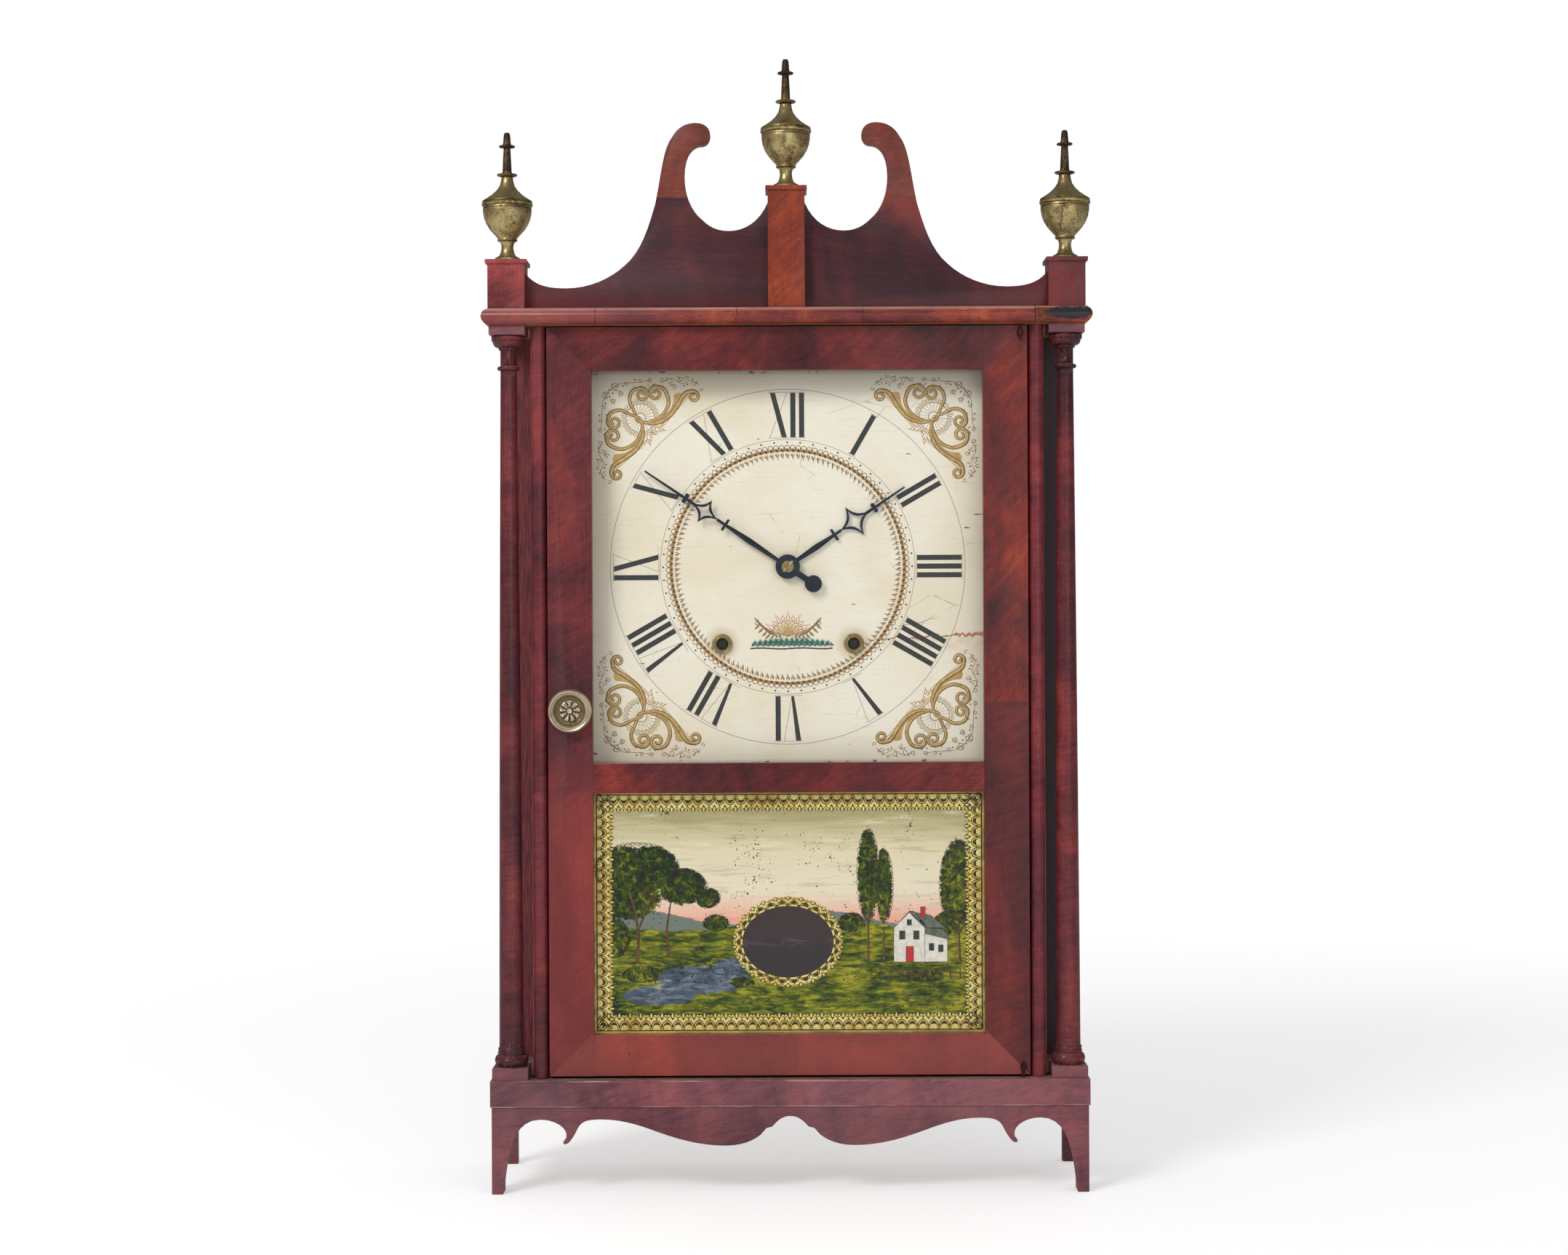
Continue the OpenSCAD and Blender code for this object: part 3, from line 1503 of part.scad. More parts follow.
module pulley(x) {
    color(old_brass)
        translate([x, y_cord, pulley_z])
            rotate([90, 0, 0])
                rotate_extrude($fn = fine)
                    polygon([[pulley_pin_r + fit, -pulley_t / 2], [pulley_r, -pulley_t / 2],
                        [pulley_r, -pulley_t / 2 + 0.8], [groove_r, -1.2], [groove_r, 1.2],
                        [pulley_r, pulley_t / 2 - 0.8], [pulley_r, pulley_t / 2],
                        [pulley_pin_r + fit, pulley_t / 2]]);
}

module time_pulley() {
    pulley(pulley_x);
}

module strike_pulley() {
    pulley(-pulley_x);
}

// The cord from drum to pulley is the crossed tangent of the two circles that it winds on
cord_gap = 0.4;
fall_r = groove_r + cord_r + cord_gap;
wrap_r = drum_r + cord_r + cord_gap;
fall_x = pulley_x + fall_r;
weight_z0 = z_floor + weight_lift;
hook_h = 14;
weight_top = weight_z0 + weight_h + hook_h;
cord_end = weight_top + 0.3;

module weight(x) {
    color(iron)
        difference() {
            union() {
                box(x - weight_w / 2, x + weight_w / 2, y_cord - weight_d / 2,
                    y_cord + weight_d / 2, weight_z0, weight_z0 + weight_h);
                box(x - 1.5, x + 1.5, y_cord - 5, y_cord + 5, weight_z0 + weight_h, weight_top);
            }
            translate([x - 2, y_cord, weight_top - 5])
                rotate([0, 90, 0])
                    cylinder(h = 4, r = 2.5, $fn = small);
        }
}

module time_weight() {
    weight(fall_x);
}

module strike_weight() {
    weight(-fall_x);
}

drum_off = [wind_x, z_dial - wind_z];
pulley_off = [pulley_x, pulley_z];
run = pulley_off - drum_off;
lean = towards(drum_off, pulley_off) + asin((fall_r + wrap_r) / norm(run));
side = polar(1, lean - 90);
route = concat(
    [drum_off + wrap_r * side, pulley_off - fall_r * side],
    [for (a = [lean + 72:-18:18]) pulley_off + polar(fall_r, a)],
    [pulley_off + [fall_r, 0], [fall_x, cord_end + 120], [fall_x, cord_end]]
);
cord_sides = 8;

// Round tube along a route in the plane of the pulleys
module tube(points, r) {
    last = len(points) - 1;
    function dir(i) = let (v = points[min(i + 1, last)] - points[max(i - 1, 0)]) v / norm(v);
    rings = [for (i = [0:last]) let (d = dir(i)) for (k = [0:cord_sides - 1])
        let (a = (k + 0.5) * 360 / cord_sides, s = r * cos(a))
        [points[i][0] - d[1] * s, y_cord + r * sin(a), points[i][1] + d[0] * s]];
    walls = [for (i = [0:last - 1]) for (k = [0:cord_sides - 1])
        let (n = (k + 1) % cord_sides, b = i * cord_sides)
        [b + k, b + n, b + cord_sides + n, b + cord_sides + k]];
    polyhedron(rings, concat(walls, [[for (k = [cord_sides - 1:-1:0]) k]],
        [[for (k = [0:cord_sides - 1]) last * cord_sides + k]]));
}

module time_cord() {
    color(cord_brown)
        tube(route, cord_r);
}

module strike_cord() {
    color(cord_brown)
        mirror([1, 0, 0])
            tube(route, cord_r);
}

base_frame();
base_board();
front_apron();
side_aprons();
case_sides();
backboard();
top_board();
cornice();
columns();
column_blocks();
scroll_board();
crest_plinths();
finials();
dial_board();
inner_strips();
winding_eyelets();
front_plate();
back_plate();
plate_pillars();
plate_studs();
bell();
bell_post();
pulley_covers();
hinge_wires();
door_stiles();
door_rails();
dial_glass();
tablet_glass();
glazing_strips();
hinge_eyes();
door_knob();
latch_hook();
minute_hand();
centre_arbor();
hour_hand();
hour_wheel();
motion_wheel();
time_main_wheel();
time_drum();
second_wheel();
third_wheel();
escape_wheel();
verge();
pendulum_rod();
pendulum_bob();
time_weight();
time_cord();
time_pulley();
strike_main_wheel();
strike_drum();
pin_wheel();
warning_wheel();
fly();
count_wheel();
hammer();
lifting_lever();
strike_weight();
strike_cord();
strike_pulley();
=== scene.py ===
"""Pillar-and-scroll shelf clock: veneers, brass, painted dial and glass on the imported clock.

Lengths in the code are millimetres in the clock's own frame: the front faces -Y, +Z is up,
and the shelf is z = 0. They become metres where a mesh is made.
"""
import math
import random

import bmesh
import bpy
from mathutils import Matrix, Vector


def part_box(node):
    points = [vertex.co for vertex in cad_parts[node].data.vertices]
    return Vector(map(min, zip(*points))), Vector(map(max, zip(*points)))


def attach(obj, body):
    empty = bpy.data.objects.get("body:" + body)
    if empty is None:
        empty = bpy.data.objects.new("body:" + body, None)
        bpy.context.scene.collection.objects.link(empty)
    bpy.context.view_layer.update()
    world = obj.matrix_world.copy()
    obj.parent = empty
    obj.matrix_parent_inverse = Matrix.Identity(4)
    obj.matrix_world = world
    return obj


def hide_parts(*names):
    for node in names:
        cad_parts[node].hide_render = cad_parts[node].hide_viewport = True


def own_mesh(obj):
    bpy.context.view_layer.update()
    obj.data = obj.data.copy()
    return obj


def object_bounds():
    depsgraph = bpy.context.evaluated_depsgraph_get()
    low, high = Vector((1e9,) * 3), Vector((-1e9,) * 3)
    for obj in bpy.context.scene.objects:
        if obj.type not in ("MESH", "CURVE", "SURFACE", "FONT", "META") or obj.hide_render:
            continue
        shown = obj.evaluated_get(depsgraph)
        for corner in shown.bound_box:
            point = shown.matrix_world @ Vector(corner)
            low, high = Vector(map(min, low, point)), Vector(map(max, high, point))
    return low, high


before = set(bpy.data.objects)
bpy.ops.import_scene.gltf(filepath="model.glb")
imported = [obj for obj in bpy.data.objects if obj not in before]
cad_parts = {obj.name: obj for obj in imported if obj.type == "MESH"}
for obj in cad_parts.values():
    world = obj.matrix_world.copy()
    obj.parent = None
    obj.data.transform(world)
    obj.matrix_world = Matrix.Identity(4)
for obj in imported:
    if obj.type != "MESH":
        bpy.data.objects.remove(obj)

bl_info = {
    "name": "Pillar-and-scroll shelf clock",
    "version": (1, 0, 0),
    "blender": (4, 5, 0),
    "location": "3D View > Sidebar > Shelf clock",
    "description": "Finishes a pillar-and-scroll shelf clock piece by piece",
    "category": "Object",
}

MM = 0.001
CAD_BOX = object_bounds()


def corners(node):
    """Lowest and highest corner of a CAD node, in millimetres."""
    low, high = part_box(node)
    return low / MM, high / MM


def middle(node):
    """The middle of a CAD node, in millimetres."""
    low, high = corners(node)
    return (low + high) / 2


# The door, the dial and the crest give the places that most pieces are measured from
STILES = corners("door_stiles")
DOOR_HALF = (STILES[1].x - STILES[0].x) / 2
DOOR_FACE = STILES[0].y
STILE_WIDTH = 31.4       # from the door's edge to the opening for the glass
OPENING = DOOR_HALF - STILE_WIDTH
DIAL_GLASS = corners("dial_glass")
DIAL_Z = middle("dial_glass").z
DIAL_FACE = corners("dial_board")[0].y
TABLET = corners("tablet_glass")
TABLET_FACE = TABLET[0].y
CREST_FOOT = corners("scroll_board")[0].z
CREST_Y = middle("scroll_board").y
CORNICE = corners("cornice")
CASE_OUT = corners("case_sides")[1].x
KNOB = middle("door_knob")
CORD_REACH = 3           # half width of the strip that holds a cord's fall


class Tone:
    """A socket in a finish's node tree that sums, products and comparisons work on."""

    def __init__(self, finish, socket):
        self.finish, self.socket = finish, socket

    def math(self, operation, *values, clamp=False):
        """What one math node makes of the values."""
        settings = {"operation": operation, "use_clamp": clamp}
        return self.finish.node("ShaderNodeMath", settings, dict(enumerate(values)))

    def __add__(self, other):
        return self.math("ADD", self, other)

    def __sub__(self, other):
        return self.math("SUBTRACT", self, other)

    def __rsub__(self, other):
        return self.math("SUBTRACT", other, self)

    def __mul__(self, other):
        return self.math("MULTIPLY", self, other)

    def __pow__(self, other):
        return self.math("POWER", self, other)

    def __lt__(self, other):
        return self.math("LESS_THAN", self, other)

    def __gt__(self, other):
        return self.math("GREATER_THAN", self, other)

    def __abs__(self):
        return self.math("ABSOLUTE", self)

    __radd__ = __add__
    __rmul__ = __mul__

    def high(self, other):
        """The larger of two values."""
        return self.math("MAXIMUM", self, other)

    def low(self, other):
        """The smaller of two values."""
        return self.math("MINIMUM", self, other)

    def wave(self):
        """The sine of a value in radians."""
        return self.math("SINE", self)

    def clear(self):
        """Held between 0 and 1."""
        return self.math("ADD", self, 0, clamp=True)

    def rise(self, start, end):
        """0 at start, 1 at end, smooth between; it falls where start is above end."""
        settings = {"interpolation_type": "SMOOTHSTEP"}
        if start > end:
            return 1 - self.rise(end, start)
        return self.finish.node("ShaderNodeMapRange", settings, {"Value": self, 1: start, 2: end})


class Finish:
    """A procedural material and the nodes that feed its shader."""

    def __init__(self, name, **constants):
        self.material = bpy.data.materials.new(name)
        self.material.use_nodes = True
        self.tree = self.material.node_tree
        self.shader = self.tree.nodes["Principled BSDF"]
        self.set(**constants)
        place = self.tree.nodes.new("ShaderNodeTexCoord")
        self.place = self.node(
            "ShaderNodeVectorMath", {"operation": "SCALE"},
            {0: Tone(self, place.outputs["Object"]), "Scale": 1 / MM},
        )
        split = self.tree.nodes.new("ShaderNodeSeparateXYZ")
        self.tree.links.new(self.place.socket, split.inputs[0])
        self.x, self.y, self.z = (Tone(self, out) for out in split.outputs)

    def node(self, kind, settings, inputs, out=0):
        """Any node: its type, its settings, its sockets' values or links, and the socket wanted."""
        made = self.tree.nodes.new(kind)
        for key, value in settings.items():
            if key == "stops":
                while len(made.color_ramp.elements) < len(value):
                    made.color_ramp.elements.new(0.5)
                for stop, (place, colour) in zip(made.color_ramp.elements, value):
                    stop.position, stop.color = place, (*colour, 1)
            else:
                setattr(made, key, value)
        for key, value in inputs.items():
            if isinstance(value, Tone):
                self.tree.links.new(value.socket, made.inputs[key])
            elif hasattr(made.inputs[key].default_value, "__len__") and len(value) == 3:
                size = len(made.inputs[key].default_value)
                made.inputs[key].default_value = (*value, 1)[:size]
            else:
                made.inputs[key].default_value = value
        return Tone(self, made.outputs[out])

    def set(self, **constants):
        """Constants on the shader's own sockets, spaces in their names written as _."""
        for key, value in constants.items():
            socket = self.shader.inputs[key.replace("_", " ")]
            socket.default_value = (*value, 1) if isinstance(value, tuple) else value

    def feed(self, **sockets):
        """What varies over the surface, linked to the shader."""
        for key, value in sockets.items():
            self.tree.links.new(value.socket, self.shader.inputs[key.replace("_", " ")])

    def stretch(self, along, turn=(0, 0, 0), shift=(0, 0, 0)):
        """Coordinates squeezed by the three factors along, after a turn in degrees."""
        turned = self.node(
            "ShaderNodeMapping", {"vector_type": "TEXTURE"},
            {"Vector": self.place, "Rotation": tuple(map(math.radians, turn)), "Location": shift},
        )
        return self.node("ShaderNodeVectorMath", {"operation": "MULTIPLY"}, {0: turned, 1: along})

    def grain(self, vector, size, detail=3, rough=0.5, bend=0):
        """Noise from 0 to 1 with lumps of about the given size."""
        return self.node(
            "ShaderNodeTexNoise", {},
            {"Vector": vector, "Scale": 1 / size, "Detail": detail, "Roughness": rough,
             "Distortion": bend},
        )

    def crazing(self, vector, size):
        """Distance to the edges of cells of about the given size."""
        settings = {"feature": "DISTANCE_TO_EDGE"}
        return self.node("ShaderNodeTexVoronoi", settings, {"Vector": vector, "Scale": 1 / size})

    def mix(self, mask, first, second):
        """A colour between two others."""
        settings = {"data_type": "RGBA", "clamp_factor": True}
        return self.node("ShaderNodeMix", settings, {0: mask, 6: first, 7: second}, out=2)

    def ramp(self, value, *stops):
        """A colour looked up along (place, colour) stops."""
        return self.node("ShaderNodeValToRGB", {"stops": stops}, {0: value})

    def bump(self, height, depth, strength):
        """A normal from a height of 0 to 1 that stands for depth in millimetres."""
        return self.node(
            "ShaderNodeBump", {}, {"Height": height, "Distance": depth * MM, "Strength": strength}
        )

    def done(self, colour, rough, height, depth, strength, **more):
        """The material, its shader fed with colour, roughness and relief."""
        self.feed(Base_Color=colour, Roughness=rough.clear(),
                  Normal=self.bump(height, depth, strength), **more)
        return self.material


def reach_of(u, v):
    """Distance from the centre of two coordinates."""
    return (u * u + v * v) ** 0.5


def only(*objects):
    """Select these objects alone and make the first one active, in object mode."""
    if bpy.context.mode != "OBJECT":
        bpy.ops.object.mode_set(mode="OBJECT")
    bpy.ops.object.select_all(action="DESELECT")
    for each in objects:
        each.select_set(True)
    bpy.context.view_layer.objects.active = objects[0]


def edit(piece):
    """Go into edit mode with the whole piece selected."""
    only(piece)
    bpy.ops.object.mode_set(mode="EDIT")
    bpy.ops.mesh.select_mode(type="VERT")
    bpy.ops.mesh.select_all(action="SELECT")


def leave():
    """Go back to object mode."""
    bpy.ops.object.mode_set(mode="OBJECT")


def hold(name, data):
    """A new object in the scene for a mesh, curve, lamp or camera."""
    piece = bpy.data.objects.new(name, data)
    bpy.context.collection.objects.link(piece)
    return piece


def merged(node, name):
    """A copy of a CAD node's mesh, its loose triangles merged into faces."""
    copy = hold(name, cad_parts[node].data.copy())
    edit(copy)
    bpy.ops.mesh.remove_doubles(threshold=0.002 * MM)
    bpy.ops.mesh.dissolve_limited(angle_limit=math.radians(0.6))
    leave()
    copy.data.materials.clear()
    return copy


def ease(piece, width):
    """Round every sharp arris of a piece."""
    only(piece)
    bevel = piece.modifiers.new("Easing", "BEVEL")
    bevel.width, bevel.segments = width * MM, 2
    bevel.limit_method, bevel.angle_limit = "ANGLE", math.radians(30)
    bpy.ops.object.modifier_apply(modifier=bevel.name)


def smooth(piece, angle=26):
    """Smooth shading, but for edges sharper than the angle in degrees."""
    only(piece)
    bpy.ops.object.shade_smooth_by_angle(angle=math.radians(angle))


def settle(piece):
    """Leave the piece at the origin, unturned and unscaled, with its place in its mesh."""
    only(piece)
    if piece.type != "MESH":
        bpy.ops.object.convert(target="MESH")
    bpy.ops.object.transform_apply(location=True, rotation=True, scale=True)


def join(name, *pieces):
    """Several pieces made one, under one name."""
    only(*pieces)
    if len(pieces) > 1:
        bpy.ops.object.join()
    pieces[0].name = name
    return pieces[0]


def finish_piece(piece, body, slot, *materials, instead=()):
    """Give a piece its finishes, its body and the nodes that it stands for; slot is not used."""
    settle(piece)
    if materials:
        piece.data.materials.clear()
        for material in materials:
            piece.data.materials.append(material)
    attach(piece, body)
    if instead:
        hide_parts(*instead)


def rounded(node, name, width, body, slot, material):
    """A CAD node's own shape with its arrises rounded, in place of the node."""
    piece = merged(node, name)
    if width:
        ease(piece, width)
    smooth(piece)
    finish_piece(piece, body, slot, material, instead=(node,))


def dress(node, material):
    """Finish a CAD node whose shape stays as it is."""
    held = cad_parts[node]
    while len(held.material_slots) > 1:
        only(held)
        bpy.ops.object.material_slot_remove()
    if not held.material_slots:
        held.data.materials.append(material)
    held.material_slots[0].link = "OBJECT"
    held.material_slots[0].material = material


def outline_piece(name, loops, y0, y1):
    """Front-view outlines, in millimetres, filled and made solid from y0 back to y1."""
    flat = bpy.data.curves.new(name, "CURVE")
    flat.dimensions, flat.fill_mode = "2D", "BOTH"
    flat.extrude = abs(y1 - y0) / 2 * MM
    for loop in loops:
        line = flat.splines.new("POLY")
        line.points.add(len(loop) - 1)
        for point, (x, z) in zip(line.points, loop):
            point.co = (x * MM, z * MM, 0, 1)
        line.use_cyclic_u = True
    piece = hold(name, flat)
    piece.rotation_euler = (math.pi / 2, 0, 0)
    piece.location = (0, (y0 + y1) / 2 * MM, 0)
    settle(piece)
    return piece


def tapered(name, path, radii):
    """A round pin through points in millimetres, with its radius at each of them."""
    line = bpy.data.curves.new(name, "CURVE")
    line.dimensions, line.bevel_depth = "3D", MM
    line.bevel_resolution, line.use_fill_caps = 4, True
    spline = line.splines.new("POLY")
    spline.points.add(len(path) - 1)
    for point, place, radius in zip(spline.points, path, radii):
        point.co, point.radius = (*(value * MM for value in place), 1), radius
    piece = hold(name, line)
    settle(piece)
    return piece


def turned(name, profile, axis, steps=64):
    """A lathe piece: (radius, height) points spun round a vertical axis through (x, y)."""
    bpy.ops.mesh.primitive_circle_add(vertices=3, radius=MM)
    piece = bpy.context.object
    piece.name = name
    shape = bmesh.new()
    points = [shape.verts.new((axis[0] * MM + r * MM, axis[1] * MM, z * MM)) for r, z in profile]
    for first, second in zip(points, points[1:]):
        shape.edges.new((first, second))
    shape.to_mesh(piece.data)
    shape.free()
    edit(piece)
    bpy.ops.mesh.spin(steps=steps, angle=math.tau, axis=(0, 0, 1),
                      center=(axis[0] * MM, axis[1] * MM, 0))
    bpy.ops.mesh.select_all(action="SELECT")
    bpy.ops.mesh.remove_doubles(threshold=0.001 * MM)
    bpy.ops.mesh.normals_make_consistent(inside=False)
    leave()
    return piece


def rgb(red, green, blue):
    """A colour given as it displays, 0 to 255, in the shader's own terms."""
    return tuple(((value / 255 + 0.055) / 1.055) ** 2.4 for value in (red, green, blue))


ALONG = {"x": (0.05, 1, 1), "y": (1, 0.05, 1), "z": (1, 1, 0.05)}
SHADOWED = rgb(52, 22, 28)
DUST = rgb(170, 150, 130)
# the dark red-brown below is dirt and painted shade in the creases between mouldings
DIRT_AND_SHADE = rgb(34, 14, 18)


def veneer_colour(finish, along, slope, shift, colours, streak=9):
    """Colour and pore depth of figured mahogany.

    along is the way the pores run, slope the lean in degrees of the figure's streaks seen
    from the front, and colours run from the deepest shadow to the brightest streak.
    """
    pores = finish.grain(finish.stretch(ALONG[along], (0, 0, 0), shift), 0.9, 4, 0.65)
    leaned = finish.stretch((0.16, 0.5, 1), (0, slope, 0), shift)
    streaks = finish.grain(leaned, streak, 5, 0.62, 1.6)
    fine = finish.grain(leaned, streak / 6, 4, 0.65, 0.9)
    clouds = finish.grain(finish.stretch((1, 1, 0.6), (0, slope * 0.4, 0), shift), 55, 5,
                          0.6, 0.7)
    depth = streaks * 0.18 + clouds * 0.56 + fine * 0.2 + pores * 0.12
    colour = finish.ramp(depth, *zip((0.4, 0.52, 0.61, 0.72), colours))
    return finish.mix(pores.rise(0.44, 0.32) * 0.25, colour, colours[0]), pores


def varnished(finish, colour, pores, rough=0.3, dust=0.5, hollows=(), bloom=0.05, ledges=()):
    """Old satin varnish over a wood colour, with dust on what faces up.

    hollows are heights, with half widths, of creases between mouldings that are darkened
    with dirt and painted shade, and ledges are heights of arrises where pale dust lies or
    the colour is rubbed off.
    """
    rubs = finish.grain(finish.stretch((0.12, 1, 1)), 4, 4, 0.7)
    for height in ledges:
        line = abs(finish.z - height).rise(0.7, 0.2) * rubs.rise(0.44, 0.62)
        colour = finish.mix(line * 0.6, colour, rgb(206, 178, 166))
    # dirt and painted shade darken the creases between the mouldings
    for height, half in hollows:
        line = abs(finish.z - height).rise(half, half * 0.35)
        colour = finish.mix(line * 0.75, colour, DIRT_AND_SHADE)
    normal = finish.node("ShaderNodeNewGeometry", {}, {}, out=1)
    up = finish.node("ShaderNodeSeparateXYZ", {}, {0: normal}, out=2)
    specks = finish.grain(finish.place, 3.5, 5, 0.7)
    settled = up.rise(0.55, 0.98) * specks.rise(0.38, 0.62) * dust
    rubbed = finish.grain(finish.place, 26, 4, 0.6)
    colour = finish.mix(settled, colour, DUST)
    # pinkish haze: aged varnish, and on the base also painted reflection of the pale floor
    haze = finish.grain(finish.stretch((1, 1, 0.4), (0, 0, 0), (9, 4, 2)), 90, 4, 0.6)
    colour = finish.mix(haze.rise(0.3, 0.75) * bloom, colour, rgb(158, 124, 132))
    flecks = finish.grain(finish.place, 1.9, 2, 0.5)
    colour = finish.mix(flecks.rise(0.79, 0.81) * 0.5, colour, rgb(176, 140, 122))
    nicks = finish.grain(finish.stretch((1, 1, 0.25), (0, 0, 0), (41, 3, 6)), 3, 2, 0.5)
    colour = finish.mix(nicks.rise(0.76, 0.78) * 0.7, colour, rgb(28, 12, 14))
    height = pores * 0.6 + finish.grain(finish.place, 7, 2, 0.5) * 0.4
    finish.set(Coat_Weight=0.14, Coat_Roughness=0.16, IOR=1.5, Specular_IOR_Level=0.28)
    return finish.done(colour, rough + rubbed * 0.22 + settled * 0.4, height, 0.12, 0.5)


def mahogany(name, along, slope, shift, light, tones, **wear):
    """A mahogany board or veneer; light scales all its colours."""
    finish = Finish(name)
    tones = tuple(tuple(value * light for value in each) for each in tones)
    colour, pores = veneer_colour(finish, along, slope, shift, tones)
    return varnished(finish, colour, pores, **wear)


def door_veneer():
    """Door frame veneer: uprights and rails with their own figure, mitred at the corners."""
    finish = Finish("Door veneer")
    side = DOOR_HALF - abs(finish.x)
    end = (finish.z - STILES[0].z).low(STILES[1].z - finish.z)
    between = (DIAL_GLASS[0].z + TABLET[1].z) / 2
    rail = ((end < side) + (abs(finish.x) < OPENING) * (abs(finish.z - between) < 60)).clear()
    right = finish.x.rise(-1, 1)
    patched = 344        # below this height the right stile is faced with another veneer
    dull = finish.z.rise(patched + 1, patched - 1) * right
    deep = (rgb(54, 22, 28), rgb(92, 34, 40), rgb(124, 46, 46), rgb(158, 64, 42))
    warm = (rgb(50, 12, 14), rgb(104, 26, 22), rgb(140, 42, 22), rgb(186, 80, 30))
    plain = (rgb(50, 18, 22), rgb(92, 28, 30), rgb(118, 38, 34), rgb(136, 52, 38))
    cross = (rgb(52, 15, 21), rgb(98, 30, 32), rgb(134, 44, 37), rgb(168, 66, 40))
    left_colour, pores = veneer_colour(finish, "z", -32, (40, 0, 10), deep)
    right_colour, _ = veneer_colour(finish, "z", -48, (0, 30, 80), warm)
    low_colour, _ = veneer_colour(finish, "z", -20, (70, 10, 20), plain)
    rail_colour, rail_pores = veneer_colour(finish, "x", -36, (15, 60, 33), cross)
    down = finish.z.rise(330, 240)
    left_colour = finish.mix(down * 0.3, left_colour, rgb(172, 62, 52))
    low = finish.z.rise(150, 95)
    rail_colour = finish.mix(low * 0.36, rail_colour, rgb(186, 92, 80))
    upright = finish.mix(right, left_colour, finish.mix(dull, right_colour, low_colour))
    colour = finish.mix(rail, upright, rail_colour)
    mitre = abs(end - side).rise(0.45, 0.1) * (side < STILE_WIDTH + 1.6)
    joint = abs(finish.z - patched).rise(0.4, 0.1) * right
    seam = abs(finish.x - 4).rise(0.35, 0.1) * rail
    colour = finish.mix((mitre * 0.55 + joint * 0.4 + seam * 0.35).clear(), colour, SHADOWED)
    return varnished(finish, colour, pores * (1 - rail) + rail_pores * rail, 0.27)


PINE = rgb(112, 78, 48), rgb(150, 112, 72), rgb(180, 142, 98)
CHERRY = rgb(104, 56, 32), rgb(150, 88, 50), rgb(186, 122, 74)


def bare_wood(finish, along, shift, tones, ring=0.24, thread=0.56, spread=0.4):
    """Colour, fibres and height of plain wood: straight growth rings and faint stains.

    tones run from dark to light; ring and thread weigh the growth rings and the fibres.
    """
    flow = finish.stretch(ALONG[along], (0, 0, 0), shift)
    rings = finish.grain(flow, 14, 3, 0.5, 0.6)
    lines = (rings * 60).wave() * 0.5 + 0.5
    fibre = finish.grain(flow, 1.1, 4, 0.7)
    stain = finish.grain(finish.place, 70, 4, 0.6)
    colour = finish.ramp(lines * ring + fibre * thread + 0.1,
                         *zip((0.5 - spread, 0.5, 0.5 + spread), tones))
    colour = finish.mix(stain.rise(0.5, 0.75) * 0.5, colour, tones[0])
    return colour, fibre, fibre * 0.7 + lines * 0.3


def board(name, along, tones, shift, rough=0.62):
    """Plain unvarnished board."""
    finish = Finish(name)
    colour, fibre, height = bare_wood(finish, along, shift, tones)
    return finish.done(colour, rough + fibre * 0.2, height, 0.15, 0.6)


def old_brass(name, pale, brown, tarnish):
    """Cast or turned brass that has not been polished for years: mottled and dull in patches."""
    finish = Finish(name)
    blotch = finish.grain(finish.place, 7, 5, 0.62, 0.5)
    speck = finish.grain(finish.place, 1.3, 4, 0.7)
    mask = (blotch * 0.65 + speck * 0.35).rise(0.62 - tarnish * 0.24, 0.7 - tarnish * 0.1)
    turning = finish.grain(finish.stretch((0.05, 0.05, 1)), 0.5, 2, 0.5)
    height = speck * 0.5 + turning * 0.3 + blotch * 0.2
    return finish.done(finish.mix(mask, pale, brown), 0.34 + mask * 0.26 + speck * 0.12,
                       height, 0.1, 0.5, Metallic=0.95 - mask * 0.4)


def iron(name, colour, rust, rough, grit=0.2):
    """Dark iron or steel with a little rust."""
    finish = Finish(name, Metallic=0.85)
    patch = finish.grain(finish.place, 9, 5, 0.65)
    speck = finish.grain(finish.place, 1.1, 4, 0.7)
    mask = (patch * 0.6 + speck * 0.4).rise(0.66 - rust * 0.3, 0.78 - rust * 0.2)
    colour = finish.mix(mask * 0.8, colour, rgb(74, 46, 34))
    return finish.done(colour, rough + mask * 0.3 + speck * 0.1, speck * 0.7 + patch * 0.3,
                       grit, 0.6)


def twine():
    """Twisted weight cord: two strands laid round each other."""
    finish = Finish("Weight cord", Roughness=0.85)
    lay = ((finish.z + finish.x + finish.y) * 2.4).wave() * 0.5 + 0.5
    fuzz = finish.grain(finish.place, 0.5, 3, 0.7)
    finish.feed(
        Base_Color=finish.ramp(lay * 0.6 + fuzz * 0.4, (0.1, rgb(84, 66, 42)),
                               (0.5, rgb(132, 108, 74)), (0.9, rgb(166, 142, 104))),
        Normal=finish.bump(lay * 0.8 + fuzz * 0.2, 0.3, 0.8),
    )
    return finish.material


def old_glass():
    """Thin old window glass, nearly clear, its surface very slightly wavy and dusty."""
    finish = Finish("Dial glass", IOR=1.5)
    ripple = finish.grain(finish.place, 45, 2, 0.4)
    dust = finish.grain(finish.place, 4, 5, 0.75).rise(0.62, 0.8)
    colour = finish.mix(dust, rgb(205, 214, 206), rgb(225, 220, 205))
    return finish.done(colour, 0.03 + dust * 0.3, ripple, 0.2, 0.3,
                       Alpha=(0.02 + dust * 0.03).clear())


def through(points, steps=6):
    """A smooth line through 2-D points."""
    line = []
    padded = [points[0], *points, points[-1]]
    for a, b, c, d in zip(padded, padded[1:], padded[2:], padded[3:]):
        for step in range(steps):
            t = step / steps
            line.append(tuple(
                0.5 * (2 * q + (r - p) * t + (2 * p - 5 * q + 4 * r - s) * t * t
                       + (3 * q - p - 3 * r + s) * t ** 3)
                for p, q, r, s in zip(a, b, c, d)
            ))
    return [*line, tuple(points[-1])]


